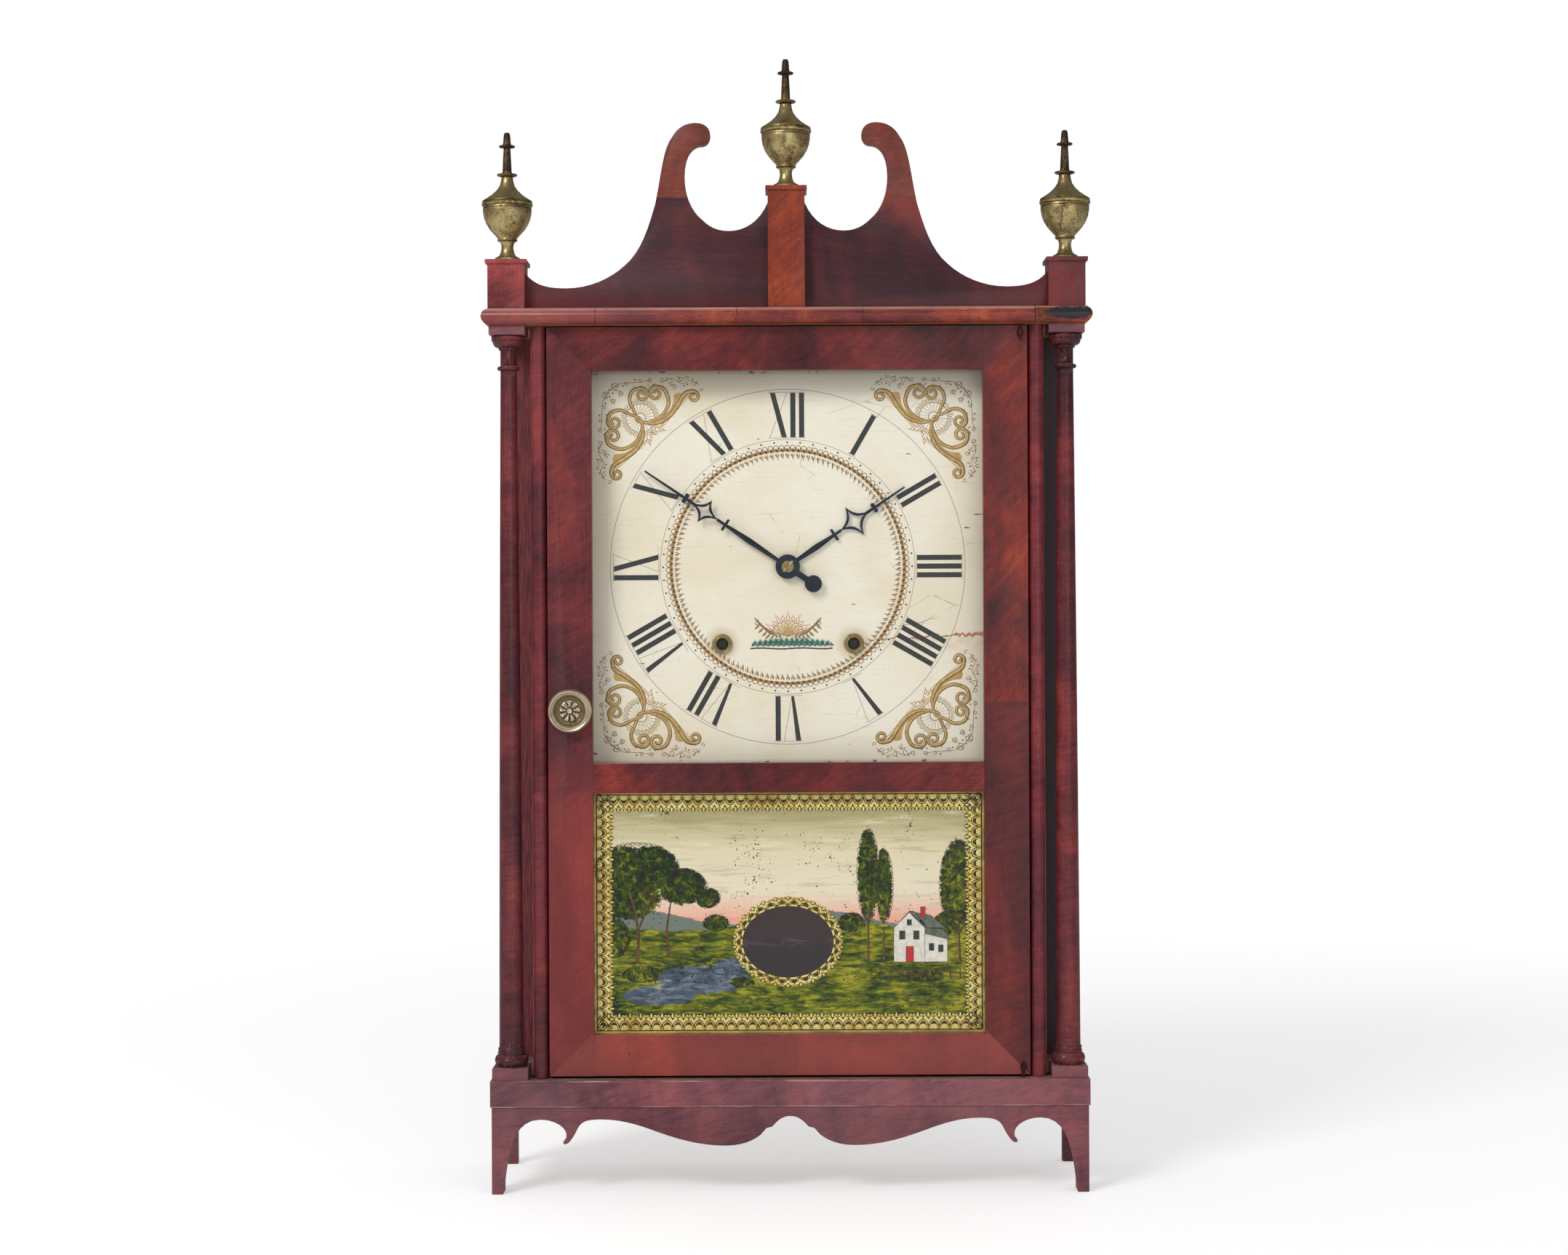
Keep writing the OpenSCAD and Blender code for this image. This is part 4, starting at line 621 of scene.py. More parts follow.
def polar(centre, reach, angle, squeeze=1):
    """The point at a distance and angle from the centre; squeeze flattens its height."""
    return (centre[0] + reach * math.cos(angle), centre[1] + reach * math.sin(angle) * squeeze)


def coil(centre, radius, start, turns, close=0.25):
    """A spiral winding in from radius at the start angle, in degrees, over some turns."""
    count = max(4, int(abs(turns) * 14))
    return [polar(centre, radius * (1 - (1 - close) * k / count),
                  math.radians(start + 360 * turns * k / count)) for k in range(count + 1)]


def ring(centre, radius, steps, start=0, sweep=360):
    """Points round a circle, or round part of it."""
    return [polar(centre, radius, math.radians(start + sweep * k / steps))
            for k in range(steps + (sweep != 360))]


def ellipse(centre, wide, tall, steps):
    """Points round an ellipse of two half widths."""
    return [(centre[0] + wide * math.cos(math.tau * k / steps),
             centre[1] + tall * math.sin(math.tau * k / steps)) for k in range(steps)]


def oblong(left, low, right, high):
    """The corners of an upright oblong."""
    return [(left, low), (right, low), (right, high), (left, high)]


def closed(loop):
    """A loop whose last point is its first."""
    return [*loop, loop[0]]


def swell(count, thick, thin=0.25, at=0.5):
    """Brush widths that grow from thin to thick at one place and fall again."""
    widths = []
    for k in range(count):
        t = k / max(1, count - 1)
        near = t / at if t < at else (1 - t) / (1 - at)
        widths.append(thin + (thick - thin) * math.sin(near * math.pi / 2))
    return widths


def strokes(name, lines, face, relief=0.3):
    """Brush strokes on an upright face: (points, widths) lines in x and z, gently rounded."""
    data = bpy.data.curves.new(name, "CURVE")
    data.dimensions, data.bevel_depth, data.bevel_resolution = "3D", MM / 2, 1
    data.use_fill_caps = True
    for points, widths in lines:
        spline = data.splines.new("POLY")
        spline.points.add(len(points) - 1)
        if not hasattr(widths, "__len__"):
            widths = [widths] * len(points)
        for knot, (x, z), width in zip(spline.points, points, widths):
            knot.co = (x * MM, 0, z * MM, 1)
            knot.radius = width
        spline.use_cyclic_u = len(points) > 4 and points[0] == points[-1]
    piece = hold(name, data)
    piece.location.y = face * MM
    piece.scale.y = relief
    settle(piece)
    return piece


def mirrored(lines, swap):
    """The same strokes with every point changed by swap."""
    return [([swap(point) for point in points], widths) for points, widths in lines]


NUMERALS = ("XII", "I", "II", "III", "IIII", "V", "VI", "VII", "VIII", "IX", "X", "XI")
BAR, BAR_GAP, SLANT = 3.7, 2.5, 8.4
CHAPTER = (92.4, 124.2)
RING = 83.2
SCALLOPS = 134           # how many go round the garland ring
OUTER_LINE, INNER_LINE, MINUTE_DOTS = 126.7, 90.9, 88.9
HOLES = (47, -55)        # the right winding hole, from the dial's centre


def numeral_lines(text, hour):
    """Bars and hairlines of one Roman numeral, its feet towards the dial's centre."""
    widths = [BAR if letter == "I" else BAR + SLANT for letter in text]
    left = -(sum(widths) + BAR_GAP * (len(text) - 1)) / 2
    low, high = CHAPTER
    bars, hairs = [], []
    for letter, width in zip(text, widths):
        right = left + width
        if letter == "I":
            bars.append([(left, low), (right, low), (right, high), (left, high)])
        elif letter == "V":
            tip = (left + right) / 2
            bars.append([(tip - 1, low), (tip + 1, low), (left + BAR, high), (left, high)])
            hairs.append([(tip + 0.6, low), (right, high)])
        else:
            bars.append([(right - BAR, low), (right, low), (left + BAR, high), (left, high)])
            hairs.append([(left, low), (right, high)])
        for level in (low - 0.4, high + 0.4):
            hairs.append([(left - 1.1, level), (right + 1.1, level)])
        left = right + BAR_GAP
    turn = math.radians(hour * 30)

    def place(point):
        s, r = point
        return (s * math.cos(turn) + r * math.sin(turn),
                DIAL_Z - s * math.sin(turn) + r * math.cos(turn))

    return [[place(p) for p in bar] for bar in bars], [[place(p) for p in hair] for hair in hairs]


def dot(x, z, wide):
    """A round spot as a stroke that swells and closes again."""
    turns = [math.pi * k / 6 for k in range(7)]
    return ([(x - wide / 2 * math.cos(t), z) for t in turns],
            [max(0.02, wide * math.sin(t)) for t in turns])


def fan(centre, radius):
    """Scalloped lace round a fan: loops, dots and ribs."""
    lace, dots = [], []
    for k in range(22):
        angle = math.radians(k * 360 / 22)
        out = polar(centre, radius, angle)
        lace.append((closed(ring(out, radius * 0.14, 10)), 0.42))
        dots.append(dot(*out, 1.5))
        lace.append(([polar(centre, radius * reach, angle + bend)
                      for reach, bend in ((0.24, 0.12), (0.5, 0.05), (0.8, 0))], 0.34))
    for reach in (0.84, 0.3):
        lace.append((closed(ring(centre, radius * reach, 32)), 0.45))
    return lace, dots


def spandrel():
    """Half of a corner ornament: u runs along the top edge from the corner, v down the side."""
    heart = (33, 35)
    horn = through([(33, 35), (45, 37), (56, 32), (63, 23), (68, 15), (74, 13)], 8)
    horn += coil((74.5, 17.2), 4.2, -95, 1.15, 0.3)
    back = through([(33, 35), (30, 27), (27, 20), (29, 13), (35, 10.5)], 8)
    back += coil((36, 15.6), 5.2, -100, 1.3, 0.25)
    bow = through([(38, 37), (50, 32), (56, 22), (53, 12), (47, 9.5)], 8)
    bow += coil((46.5, 14.8), 5.4, -88, -1.25, 0.25)
    main = [(horn, swell(len(horn), 2.6, 1.2, 0.4)), (back, swell(len(back), 2.1, 1.1)),
            (bow, swell(len(bow), 2.3, 1.1))]
    wedge = through([(34.5, 36), (47, 34.5), (57.5, 26), (60, 15.5)], 6)
    wedge += through([(60, 15.5), (63.5, 14.2), (68, 15.4)], 4)
    wedge += through([(68, 15.4), (63.5, 24), (56, 33.5), (45.5, 38.5), (34.5, 36)], 6)
    feathers, vine = [], []
    for u, v, lean in ((54, 3, 35), (59, 8, 150), (63, 1.8, 60), (68, 8, 110), (73, 3.5, 40),
                       (77, 5.5, 75), (46, 7.5, 160), (40, 8, 30), (30, 9, 70), (18, 12.5, 200)):
        turn = math.radians(lean)
        vine.append(([(u, v), (u + 1.2 * math.cos(turn), v + 1.2 * math.sin(turn)),
                      (u + 2.6 * math.cos(turn), v + 2.6 * math.sin(turn))], [0.3, 1.0, 0.2]))
    for k in range(9):
        u, v = 47 + k * 2.5, 40.5 - k * 2.9
        feathers.append(([(u, v), (u + 2.4, v - 0.8), (u + 4.9, v - 3.2)],
                         [0.35, 1.25 - k * 0.03, 0.3]))
        feathers.append(([(u + 1.6, v + 1.4), (u + 3.6, v + 0.2), (u + 5.4, v - 2)],
                         [0.25, 0.7, 0.2]))
    for k in range(4):
        u, v = 43 + k * 2.6, 42.5 - k * 0.6
        feathers.append(([(u, v), (u + 1.4, v + 1.4), (u + 3.2, v + 1.6)], [0.4, 1.2, 0.35]))
    for u, v, size, start, turns in ((10, 16, 3.1, 200, 1.1), (16, 9, 2.6, 30, -1.2),
                                     (57, 6, 2.8, 180, 1.1), (65, 5, 2.4, 0, -1.1),
                                     (75, 8, 2.2, 160, 1.0), (51, 5, 2.0, 60, -1.0),
                                     (21, 15, 2.2, 120, 1.2), (14, 19.5, 1.9, 0, 1.1),
                                     (61, 10, 1.9, 90, 1.1), (70, 2.6, 1.6, 200, -1.1),
                                     (42, 4.6, 1.9, 20, 1.2), (80, 12, 1.7, 300, 1.0),
                                     (25, 7.5, 1.8, 240, -1.2), (35, 5, 1.6, 60, 1.1)):
        vine.append((coil((u, v), size, start, turns, 0.2), 0.55))
    vine.append((through([(8, 20), (12, 13), (19, 7.5), (28, 6.5), (36, 6), (44, 4.5)], 6), 0.45))
    vine.append((through([(50, 7), (58, 3.5), (66, 7.5), (73, 5), (79, 9)], 6), 0.45))
    for u, v in ((12, 12), (14.5, 14.5), (22, 9), (31, 4.5), (60, 8.5), (70, 8)):
        vine.append(dot(u, v, 1.5))
    lace, dots = fan(heart, 12.6)
    return main, wedge, feathers, vine, lace, dots


def dial_ground():
    """Aged cream paint with a vertical weave of fine cracks, stains and one long crack, and painted
    shadow along its top and left.
    """
    paint = bpy.context.scene.clock_dial
    finish = Finish("Dial paint")
    x, z = finish.x, finish.z - DIAL_Z
    fine = finish.grain(finish.stretch((0.09, 1, 1.4)), 1.6, 4, 0.6)
    weave = finish.grain(finish.stretch((1.4, 1, 0.12)), 1.5, 3, 0.6)
    cloud = finish.grain(finish.place, 75, 4, 0.55, 0.4)
    ground = finish.mix(cloud.rise(0.35, 0.68), tuple(paint.ground), tuple(paint.aged))
    ground = finish.mix((fine.rise(0.56, 0.68) * 0.16 + weave.rise(0.58, 0.7) * 0.1), ground,
                        rgb(196, 182, 148))
    edge = (abs(x).high(abs(z))).rise(112, 140)
    ground = finish.mix(edge * 0.22, ground, rgb(206, 196, 172))
    hair = finish.crazing(finish.stretch((0.3, 1, 1), (0, 0, 0), (3, 0, 5)), 13)
    patchy = finish.grain(finish.place, 30, 3, 0.6).rise(0.56, 0.66)
    ground = finish.mix(hair.rise(0.012, 0.004) * patchy * 0.45, ground, rgb(150, 128, 92))
    wander = finish.grain(finish.stretch((1, 0, 0)), 9, 4, 0.7)
    gap = finish.grain(finish.place, 5, 4, 0.7)
    line = abs(z + 52.5 - (x - 60) * 0.05 - (wander - 0.5) * 13)
    reach = x.rise(54, 66)
    wide = 0.45 + gap.rise(0.4, 0.7) * 1.8 * x.rise(80, 104)
    crack = ((wide - line) * 4).clear() * reach
    upper = abs(z + 43 - (x - 78) * 0.2 - (wander - 0.5) * 7)
    branch = ((0.3 - upper) * 5).clear() * x.rise(76, 80) * x.rise(112, 100)
    glue = (abs(z + 54).rise(9, 1)) * x.rise(40, 70) * gap.rise(0.35, 0.7) * 0.35
    ground = finish.mix(glue, ground, rgb(204, 168, 138))
    cracked = (crack + branch).clear()
    ground = finish.mix(cracked, ground, finish.mix(gap.rise(0.4, 0.6), rgb(120, 62, 44),
                                                    rgb(206, 142, 108)))
    nicks = finish.grain(finish.stretch((0.25, 1, 1), (0, 0, 0), (31, 0, 2)), 5, 2, 0.5)
    ground = finish.mix(nicks.rise(0.755, 0.77), ground, rgb(120, 96, 62))
    rim = (147 - abs(x)).low(139.2 - abs(z)).rise(2.5, 0)
    chip = finish.grain(finish.place, 8, 4, 0.7).rise(0.6, 0.66)
    ground = finish.mix(rim * 0.3 + chip * edge * rim, ground, rgb(120, 86, 58))
    # painted shadow of the door's top rail and left stile, darker towards the top and left
    shaded = z.rise(112, 134) * 0.3 + x.rise(-118, -136) * 0.12
    ground = finish.mix(shaded, ground, rgb(142, 132, 118))
    radius = reach_of(x, z)
    drawn = (abs(radius - OUTER_LINE).rise(0.32, 0.1) * 0.7
             + abs(radius - INNER_LINE).rise(0.3, 0.1) * 0.65)
    minute = (finish.node("ShaderNodeMath", {"operation": "ARCTAN2"}, {0: x, 1: z})
              * (30 / math.pi))
    beat = abs(minute.math("FRACT", minute + 60.5) - 0.5) * (math.tau * MINUTE_DOTS / 60)
    spot = reach_of(radius - MINUTE_DOTS, beat)
    ground = finish.mix((drawn + spot.rise(0.78, 0.55)).clear(), ground, rgb(44, 40, 38))
    ground = finish.mix(radius.rise(13, 6) * 0.25, ground, rgb(178, 160, 122))
    for side in (-1, 1):
        hole = reach_of(x - HOLES[0] * side, z - HOLES[1])
        ground = finish.mix(hole.rise(15, 7) * 0.4, ground, rgb(186, 160, 108))
    return finish.done(ground, 0.42 + fine * 0.15 + cracked * 0.4,
                       fine * 0.3 + weave * 0.3 - cracked * 1.2, 0.12, 0.6)


def painted(name, colour, second, size=3, metal=0.0, rough=0.45, worn=0.0):
    """Paint or leaf laid by brush, its tone broken by a second colour."""
    finish = Finish(name, Metallic=metal)
    body = finish.grain(finish.place, size, 4, 0.6)
    fine = finish.grain(finish.place, size / 6, 3, 0.7)
    tint = finish.mix((body * 0.7 + fine * 0.3).rise(0.4, 0.62), colour, second)
    if worn:
        tint = finish.mix(fine.rise(0.68, 0.74) * worn, tint, rgb(200, 188, 150))
    return finish.done(tint, rough + fine * 0.2, body * 0.5 + fine * 0.5, 0.06, 0.5)


class CLOCK_OT_dial(bpy.types.Operator):
    """Painted dial: ground, numerals, garland ring and corner ornaments"""

    bl_idname = "clock.dial"
    bl_label = "Dial"

    def execute(self, context):
        face = DIAL_FACE
        dress("dial_board", dial_ground())
        ink = painted("Numeral black", rgb(28, 29, 34), rgb(44, 44, 48), 2, 0, 0.4, 0.25)
        brown = painted("Gold size brown", rgb(122, 84, 42), rgb(158, 116, 62), 4, 0.1, 0.5)
        gold = painted("Bronze gold", rgb(196, 158, 90), rgb(222, 192, 126), 3, 0.35, 0.42)
        ochre = painted("Ochre", rgb(158, 112, 46), rgb(196, 152, 80), 2.5, 0.2, 0.45)
        faint = painted("Thin brown", rgb(132, 100, 54), rgb(166, 134, 84), 3, 0.05, 0.5)
        umber = painted("Umber", rgb(78, 48, 24), rgb(112, 76, 38), 2, 0, 0.5)
        pale = painted("Pale gold wash", rgb(206, 172, 108), rgb(190, 150, 84), 5, 0.25, 0.45)
        bars, hairs = [], []
        for hour, text in enumerate(NUMERALS):
            solid, thin = numeral_lines(text, hour)
            bars += solid
            hairs += thin
        numerals = outline_piece("Numerals", bars, face - 0.05, face + 0.02)
        serifs = strokes("Serifs", [(hair, 0.28) for hair in hairs], face)
        finish_piece(join("Numerals", numerals, serifs), "case", "dial_paint", ink)

        band, scallops, fringe, spots = [], [], [], []
        pitch = math.tau / SCALLOPS
        draw = random.Random(8)
        for k in range(SCALLOPS):
            def at(r, turn=0.0, centre=math.tau * k / SCALLOPS):
                return (r * math.sin(centre + turn), DIAL_Z + r * math.cos(centre + turn))

            scallops.append(([at(RING + 1.6 + 2.1 * math.sin(t * math.pi / 6),
                                 pitch * 0.44 * -math.cos(t * math.pi / 6)) for t in range(7)],
                             0.55))
            band.append(([at(RING + 0.8, -pitch * 0.42), at(RING + 0.1),
                          at(RING - 0.7, pitch * 0.44)], [1.5, 2.9, 1.4]))
            spots.append(dot(*at(RING, pitch * 0.1), 1.8))
            spots.append(dot(*at(RING + 1.5, pitch * 0.45), 1.1))
            for lean, top, foot in ((-0.3, 2.2, 4.6), (-0.1, 2.0, 5.6), (0.08, 3.2, 6.8),
                                    (0.24, 2.0, 4.8)):
                bend = (top + foot) / 2 + draw.uniform(-0.4, 0.4)
                end = foot + draw.uniform(-0.9, 0.5)
                fringe.append(([at(RING - top, pitch * lean),
                                at(RING - bend, pitch * (lean + 0.07)),
                                at(RING - end, pitch * (lean + 0.17))], [0.36, 0.8, 0.2]))
        hoop = closed([at(RING, 0, math.tau * k / 180) for k in range(180)])
        layers = [
            ("Garland_scallops", scallops, face, brown),
            ("Garland_fringe", fringe, face, faint),
            ("Garland_band", band + [(hoop, 1.9)], face - 0.03, ochre),
            ("Garland_spots", spots, face - 0.3, umber),
        ]

        main, wedge, feathers, vine, lace, dots = spandrel()
        relief, under, thin, wash, spot = [], [], [], [], []
        for right in (-1, 1):
            for top in (-1, 1):
                for swap in (False, True):
                    def corner(point, right=right, top=top, swap=swap):
                        u, v = (point[1], point[0]) if swap else point
                        return (right * (OPENING - 0.96 * u), DIAL_Z + top * (OPENING - 0.96 * v))

                    relief += mirrored(main, corner)
                    under += mirrored([(line, [w + 1.0 for w in widths])
                                       for line, widths in main], corner)
                    thin += mirrored(vine, corner)
                    spot += mirrored(feathers, corner)
                    wash.append([corner(point) for point in wedge])
                thin += mirrored(lace, corner)
                spot += mirrored(dots, corner)
        layers += [
            ("Spandrel_outlines", under, face + 0.02, brown),
            ("Spandrel_vines", thin, face + 0.02, faint),
            ("Spandrel_scrolls", relief, face - 0.1, gold),
            ("Spandrel_feathers", spot, face, pale),
        ]
        for name, lines, level, paint in layers:
            finish_piece(strokes(name, lines, level, 0.22), "case", "dial_paint", paint)
        for number, loop in enumerate(wash):
            wash[number] = outline_piece("Wash", [loop], face - 0.16, face + 0.02)
        finish_piece(join("Spandrel_wash", *wash), "case", "dial_paint", pale)
        return {"FINISHED"}


def shell_ornament():
    """Fluted shell with rays over leaf sprays and a green bank, its strokes grouped by paint."""
    foot = (0, -50)
    ribs, edge, rays, leaves, veins, bank, foam, ground = [], [], [], [], [], [], [], []
    for k in range(9):
        angle = math.radians(22 + k * 17)
        tip = polar(foot, 10.4, angle, 0.95)
        ribs.append(([foot, tip], [0.5, 2.7]))
        edge.append(([foot, tip], [0.3, 0.5]))
        edge.append((ring(tip, 1.6, 8, math.degrees(angle) - 95, 190), 0.6))
    for k in range(11):
        angle = math.radians(15 + k * 15)
        side = math.radians(5.5)
        point = polar(foot, 18.4 if k % 2 else 16, angle)
        rays.append(([polar(foot, 13.2, angle - side), point, polar(foot, 13.2, angle + side)],
                     [0.75, 0.5, 0.75]))
    for angle in range(20, 165, 8):
        rays.append(dot(*polar(foot, 12.4, math.radians(angle)), 1.1))
    for side in (-1, 1):
        stem = through([(side * x, z) for x, z in ((3, -50.5), (9, -49.5), (15, -46), (21, -40))],
                       5)
        veins.append((stem, 0.4))
        for k in range(2, len(stem) - 1, 2):
            x, z = stem[k]
            for lift, reach in ((1, 4.6), (-1, 3.8)):
                leaves.append(([(x, z), (x + side * 1.6, z + lift * reach * 0.5),
                                (x + side * 3.8, z + lift * reach)], [0.7, 2.3, 0.3]))
                veins.append(([(x, z), (x + side * 3.6, z + lift * reach)], 0.36))
        veins.append((coil((side * 22.5, -40), 1.9, 90, side * 1.1, 0.3), 0.35))
    for k in range(15):
        x = -26 + k * 3.7
        high = 3.4 * math.sin(math.pi * (k + 0.5) / 15) ** 0.5
        bank.append(([(x, -56), (x + 3, -54.6 + high * 0.5), (x + 6.6, -56.2)],
                     [1.4, 2.4 + high, 1.2]))
        foam.append((through([(x + 0.6, -55 + high * 0.6), (x + 2.6, -53.2 + high * 0.8),
                              (x + 4.4, -55.4)], 3), 0.7))
        veins.append(([(x, -56.8), (x + 2.6, -55.4), (x + 5, -57)], 0.5))
        foam.append(([(x + 1.5, -56.4), (x + 4, -56.2)], 0.5))
    for k in range(12):
        x = -27 + k * 4.8
        ground.append(([(x, -58.4 + 0.4 * math.sin(k)), (x + 6, -58.2 + 0.4 * math.cos(k))], 1.1))
    return {"ribs": ribs, "edge": edge, "rays": rays, "leaves": leaves, "veins": veins,
            "bank": bank, "foam": foam, "ground": ground}


class CLOCK_OT_ornament(bpy.types.Operator):
    """Small painted shell, sprays and green bank below the dial's centre"""

    bl_idname = "clock.ornament"
    bl_label = "Centre ornament"

    def execute(self, context):
        face = DIAL_FACE
        drawn = shell_ornament()
        for name, part, proud, tones in (
            ("Fan_ribs", "ribs", 0.0, (rgb(208, 168, 108), rgb(230, 204, 156))),
            ("Fan_edge", "edge", 0.12, (rgb(150, 112, 66), rgb(180, 142, 90))),
            ("Fan_rays", "rays", 0.02, (rgb(196, 96, 76), rgb(218, 136, 112))),
            ("Spray_leaves", "leaves", 0.02, (rgb(192, 158, 104), rgb(160, 126, 74))),
            ("Spray_veins", "veins", 0.14, (rgb(104, 90, 56), rgb(66, 78, 64))),
            ("Bank", "bank", 0.0, (rgb(26, 92, 82), rgb(62, 130, 112))),
            ("Bank_light", "foam", 0.2, (rgb(214, 226, 212), rgb(150, 184, 168))),
            ("Bank_line", "ground", 0.08, (rgb(38, 42, 38), rgb(60, 66, 58))),
        ):
            lines = mirrored(drawn[part], lambda point: (point[0], point[1] + DIAL_Z))
            finish_piece(strokes(name, lines, face - proud, 0.14), "case", "dial_paint",
                         painted(name, *tones, 2.4, 0, 0.45, 0.2))
        return {"FINISHED"}


OVAL, OVAL_SIZE = (-1.0, 174.6), (32.4, 25.4)
# Ellipses in the landscape: middle in x and z, half width, half height
PONDS = (-62, 148, 34, 10), (-92, 137, 26, 7), (-40, 158, 14, 5)
FOLIAGE = (
    (-118, 224, 20, 19), (-97, 226, 19, 17), (-76, 214, 17, 13), (-113, 206, 22, 15),
    (-58, 206, 9, 7), (-127, 178, 14, 15), (56, 222, 7.5, 33), (67, 214, 6, 26),
    (120, 214, 13, 33), (44, 188, 9, 7), (-52, 188, 9, 6), (109, 186, 7, 9),
    (-104, 152, 14, 6), (-34, 146, 9, 4), (96, 150, 14, 4.5),
)
# The same, with a pen line's loops, their size, and its start and sweep in degrees
PENNED = (
    ((-108, 226, 31, 20), 56, 1.1, -20, 225), ((-76, 214, 18, 13), 26, 1.0, -60, 170),
    ((-58, 206, 9, 7), 16, 0.9, -110, 240), ((56, 222, 8, 34), 46, 0.9, -80, 340),
    ((67, 214, 6.5, 27), 34, 0.8, -70, 160), ((120, 214, 13.5, 34), 46, 1.0, 40, 220),
    ((-127, 178, 14, 15), 22, 1.0, -60, 130), ((44, 188, 9, 7), 16, 0.8, -20, 220),
    ((-52, 188, 9, 6), 16, 0.8, -20, 220), ((-112, 222, 18, 10), 22, 1.1, 200, 190),
    ((-90, 214, 16, 9), 18, 1.0, 190, 160), ((120, 206, 7, 18), 22, 0.9, 150, 210),
)


def blob(x, z, place, ragged, loose=0.3):
    """Mask of an ellipse (x, z, half width, half height) with a ragged edge."""
    cx, cz, wide, high = place
    reach = reach_of((x - cx) * (1 / wide), (z - cz) * (1 / high))
    return (reach + (ragged - 0.5) * loose).rise(1.03, 0.95)


def landscape():
    """Landscape on glass: streaked sky, pink horizon, hills, tree tops, pond and grass."""
    finish = Finish("Tablet painting")
    x, z = finish.x, finish.z
    flat = finish.stretch((0.14, 1, 1.6))
    streak = finish.grain(flat, 5, 4, 0.6, 0.3)
    brush = finish.grain(finish.stretch((0.3, 1, 1.2)), 3.2, 4, 0.65, 0.6)
    dab = finish.grain(finish.place, 4.5, 4, 0.7, 0.8)
    broad = finish.grain(finish.place, 24, 4, 0.6, 0.5)
    sky = finish.ramp(
        ((z - 180) * (1 / 90) + (streak - 0.5) * 0.3).clear(),
        (0.04, rgb(240, 136, 120)), (0.16, rgb(244, 192, 168)), (0.34, rgb(240, 230, 202)),
        (0.66, rgb(232, 222, 184)), (0.95, rgb(178, 168, 118)),
    )
    sky = finish.mix(streak.rise(0.56, 0.66) * 0.3, sky, rgb(166, 160, 138))
    sky = finish.mix(streak.rise(0.4, 0.3) * 0.35, sky, rgb(240, 236, 218))
    grass = finish.ramp(
        brush * 0.6 + broad * 0.4,
        (0.36, rgb(22, 38, 30)), (0.45, rgb(58, 78, 20)), (0.53, rgb(118, 124, 24)),
        (0.61, rgb(172, 164, 44)), (0.7, rgb(196, 156, 60)),
    )
    grass = finish.mix(broad.rise(0.6, 0.7) * z.rise(146, 126) * 0.7, grass, rgb(96, 132, 104))
    leaf = finish.ramp(
        dab * 0.7 + broad * 0.3,
        (0.36, rgb(18, 32, 30)), (0.47, rgb(36, 54, 20)), (0.56, rgb(86, 98, 16)),
        (0.64, rgb(164, 152, 28)), (0.74, rgb(56, 112, 96)),
    )
    water = finish.ramp(
        brush * 0.7 + broad * 0.3,
        (0.38, rgb(46, 58, 76)), (0.5, rgb(84, 100, 116)), (0.6, rgb(128, 138, 142)),
        (0.7, rgb(190, 186, 168)),
    )
    roll = 187 + (broad - 0.5) * 7 + (x * 0.034 + 1.2).wave() * 4.5
    far = 192 + (x * 0.05 + 0.5).wave() * 5 + (dab - 0.5) * 4
    ground = finish.mix((far - z).rise(-0.3, 0.5), sky, rgb(116, 128, 118))
    ground = finish.mix((roll - z).rise(-0.4, 0.6), ground, grass)
    for place in PONDS:
        ground = finish.mix(blob(x, z, place, brush, 0.5), ground, water)
    for place in FOLIAGE:
        ground = finish.mix(blob(x, z, place, dab, 0.6), ground, leaf)
    specks = finish.grain(finish.stretch((0.6, 1, 1)), 2.6, 2, 0.5)
    ground = finish.mix(specks.rise(0.715, 0.735), ground, rgb(48, 42, 36))
    chips = finish.grain(finish.place, 1.5, 2, 0.5) * 0.6 + broad * 0.4
    ground = finish.mix(chips.rise(0.64, 0.65), ground, rgb(40, 34, 32))
    flaked = finish.grain(finish.place, 3.4, 4, 0.75)
    shore = blob(x, z, (-58, 153, 36, 8), brush, 0.4) * flaked.rise(0.57, 0.61)
    worn = blob(x, z, (104, 133, 26, 7), broad, 0.4) * flaked.rise(0.55, 0.6)
    ground = finish.mix(shore + worn * 0.5, ground, rgb(50, 40, 48))
    finish.set(Coat_Weight=0.1, Coat_Roughness=0.12, Specular_IOR_Level=0.3)
    return finish.done(ground, 0.2 + streak * 0.12, streak * 0.5 + dab * 0.5, 0.06, 0.35)


def bronze_leaf():
    """Gold leaf of the tablet's border, smudged brown where the bronze has aged."""
    finish = Finish("Tablet gold", Metallic=0.25)
    cloud = finish.grain(finish.place, 22, 4, 0.6)
    fine = finish.grain(finish.place, 2.4, 4, 0.7)
    drag = finish.grain(finish.stretch((0.2, 1, 1)), 6, 3, 0.6)
    colour = finish.ramp(
        cloud * 0.5 + fine * 0.3 + drag * 0.2,
        (0.36, rgb(186, 150, 64)), (0.47, rgb(232, 208, 110)), (0.58, rgb(248, 234, 144)),
        (0.7, rgb(253, 244, 178)),
    )
    rim = (139 - abs(finish.x)).low((finish.z - 109.6).low(281.6 - finish.z))
    aged = rim.rise(4.5, 0) * (cloud * 0.6 + drag * 0.6).rise(0.45, 0.75)
    colour = finish.mix(aged * 0.85, colour, rgb(84, 46, 26))
    finish.set(Coat_Weight=0.15, Coat_Roughness=0.12)
    return finish.done(colour, 0.34 + fine * 0.25, fine, 0.05, 0.4)


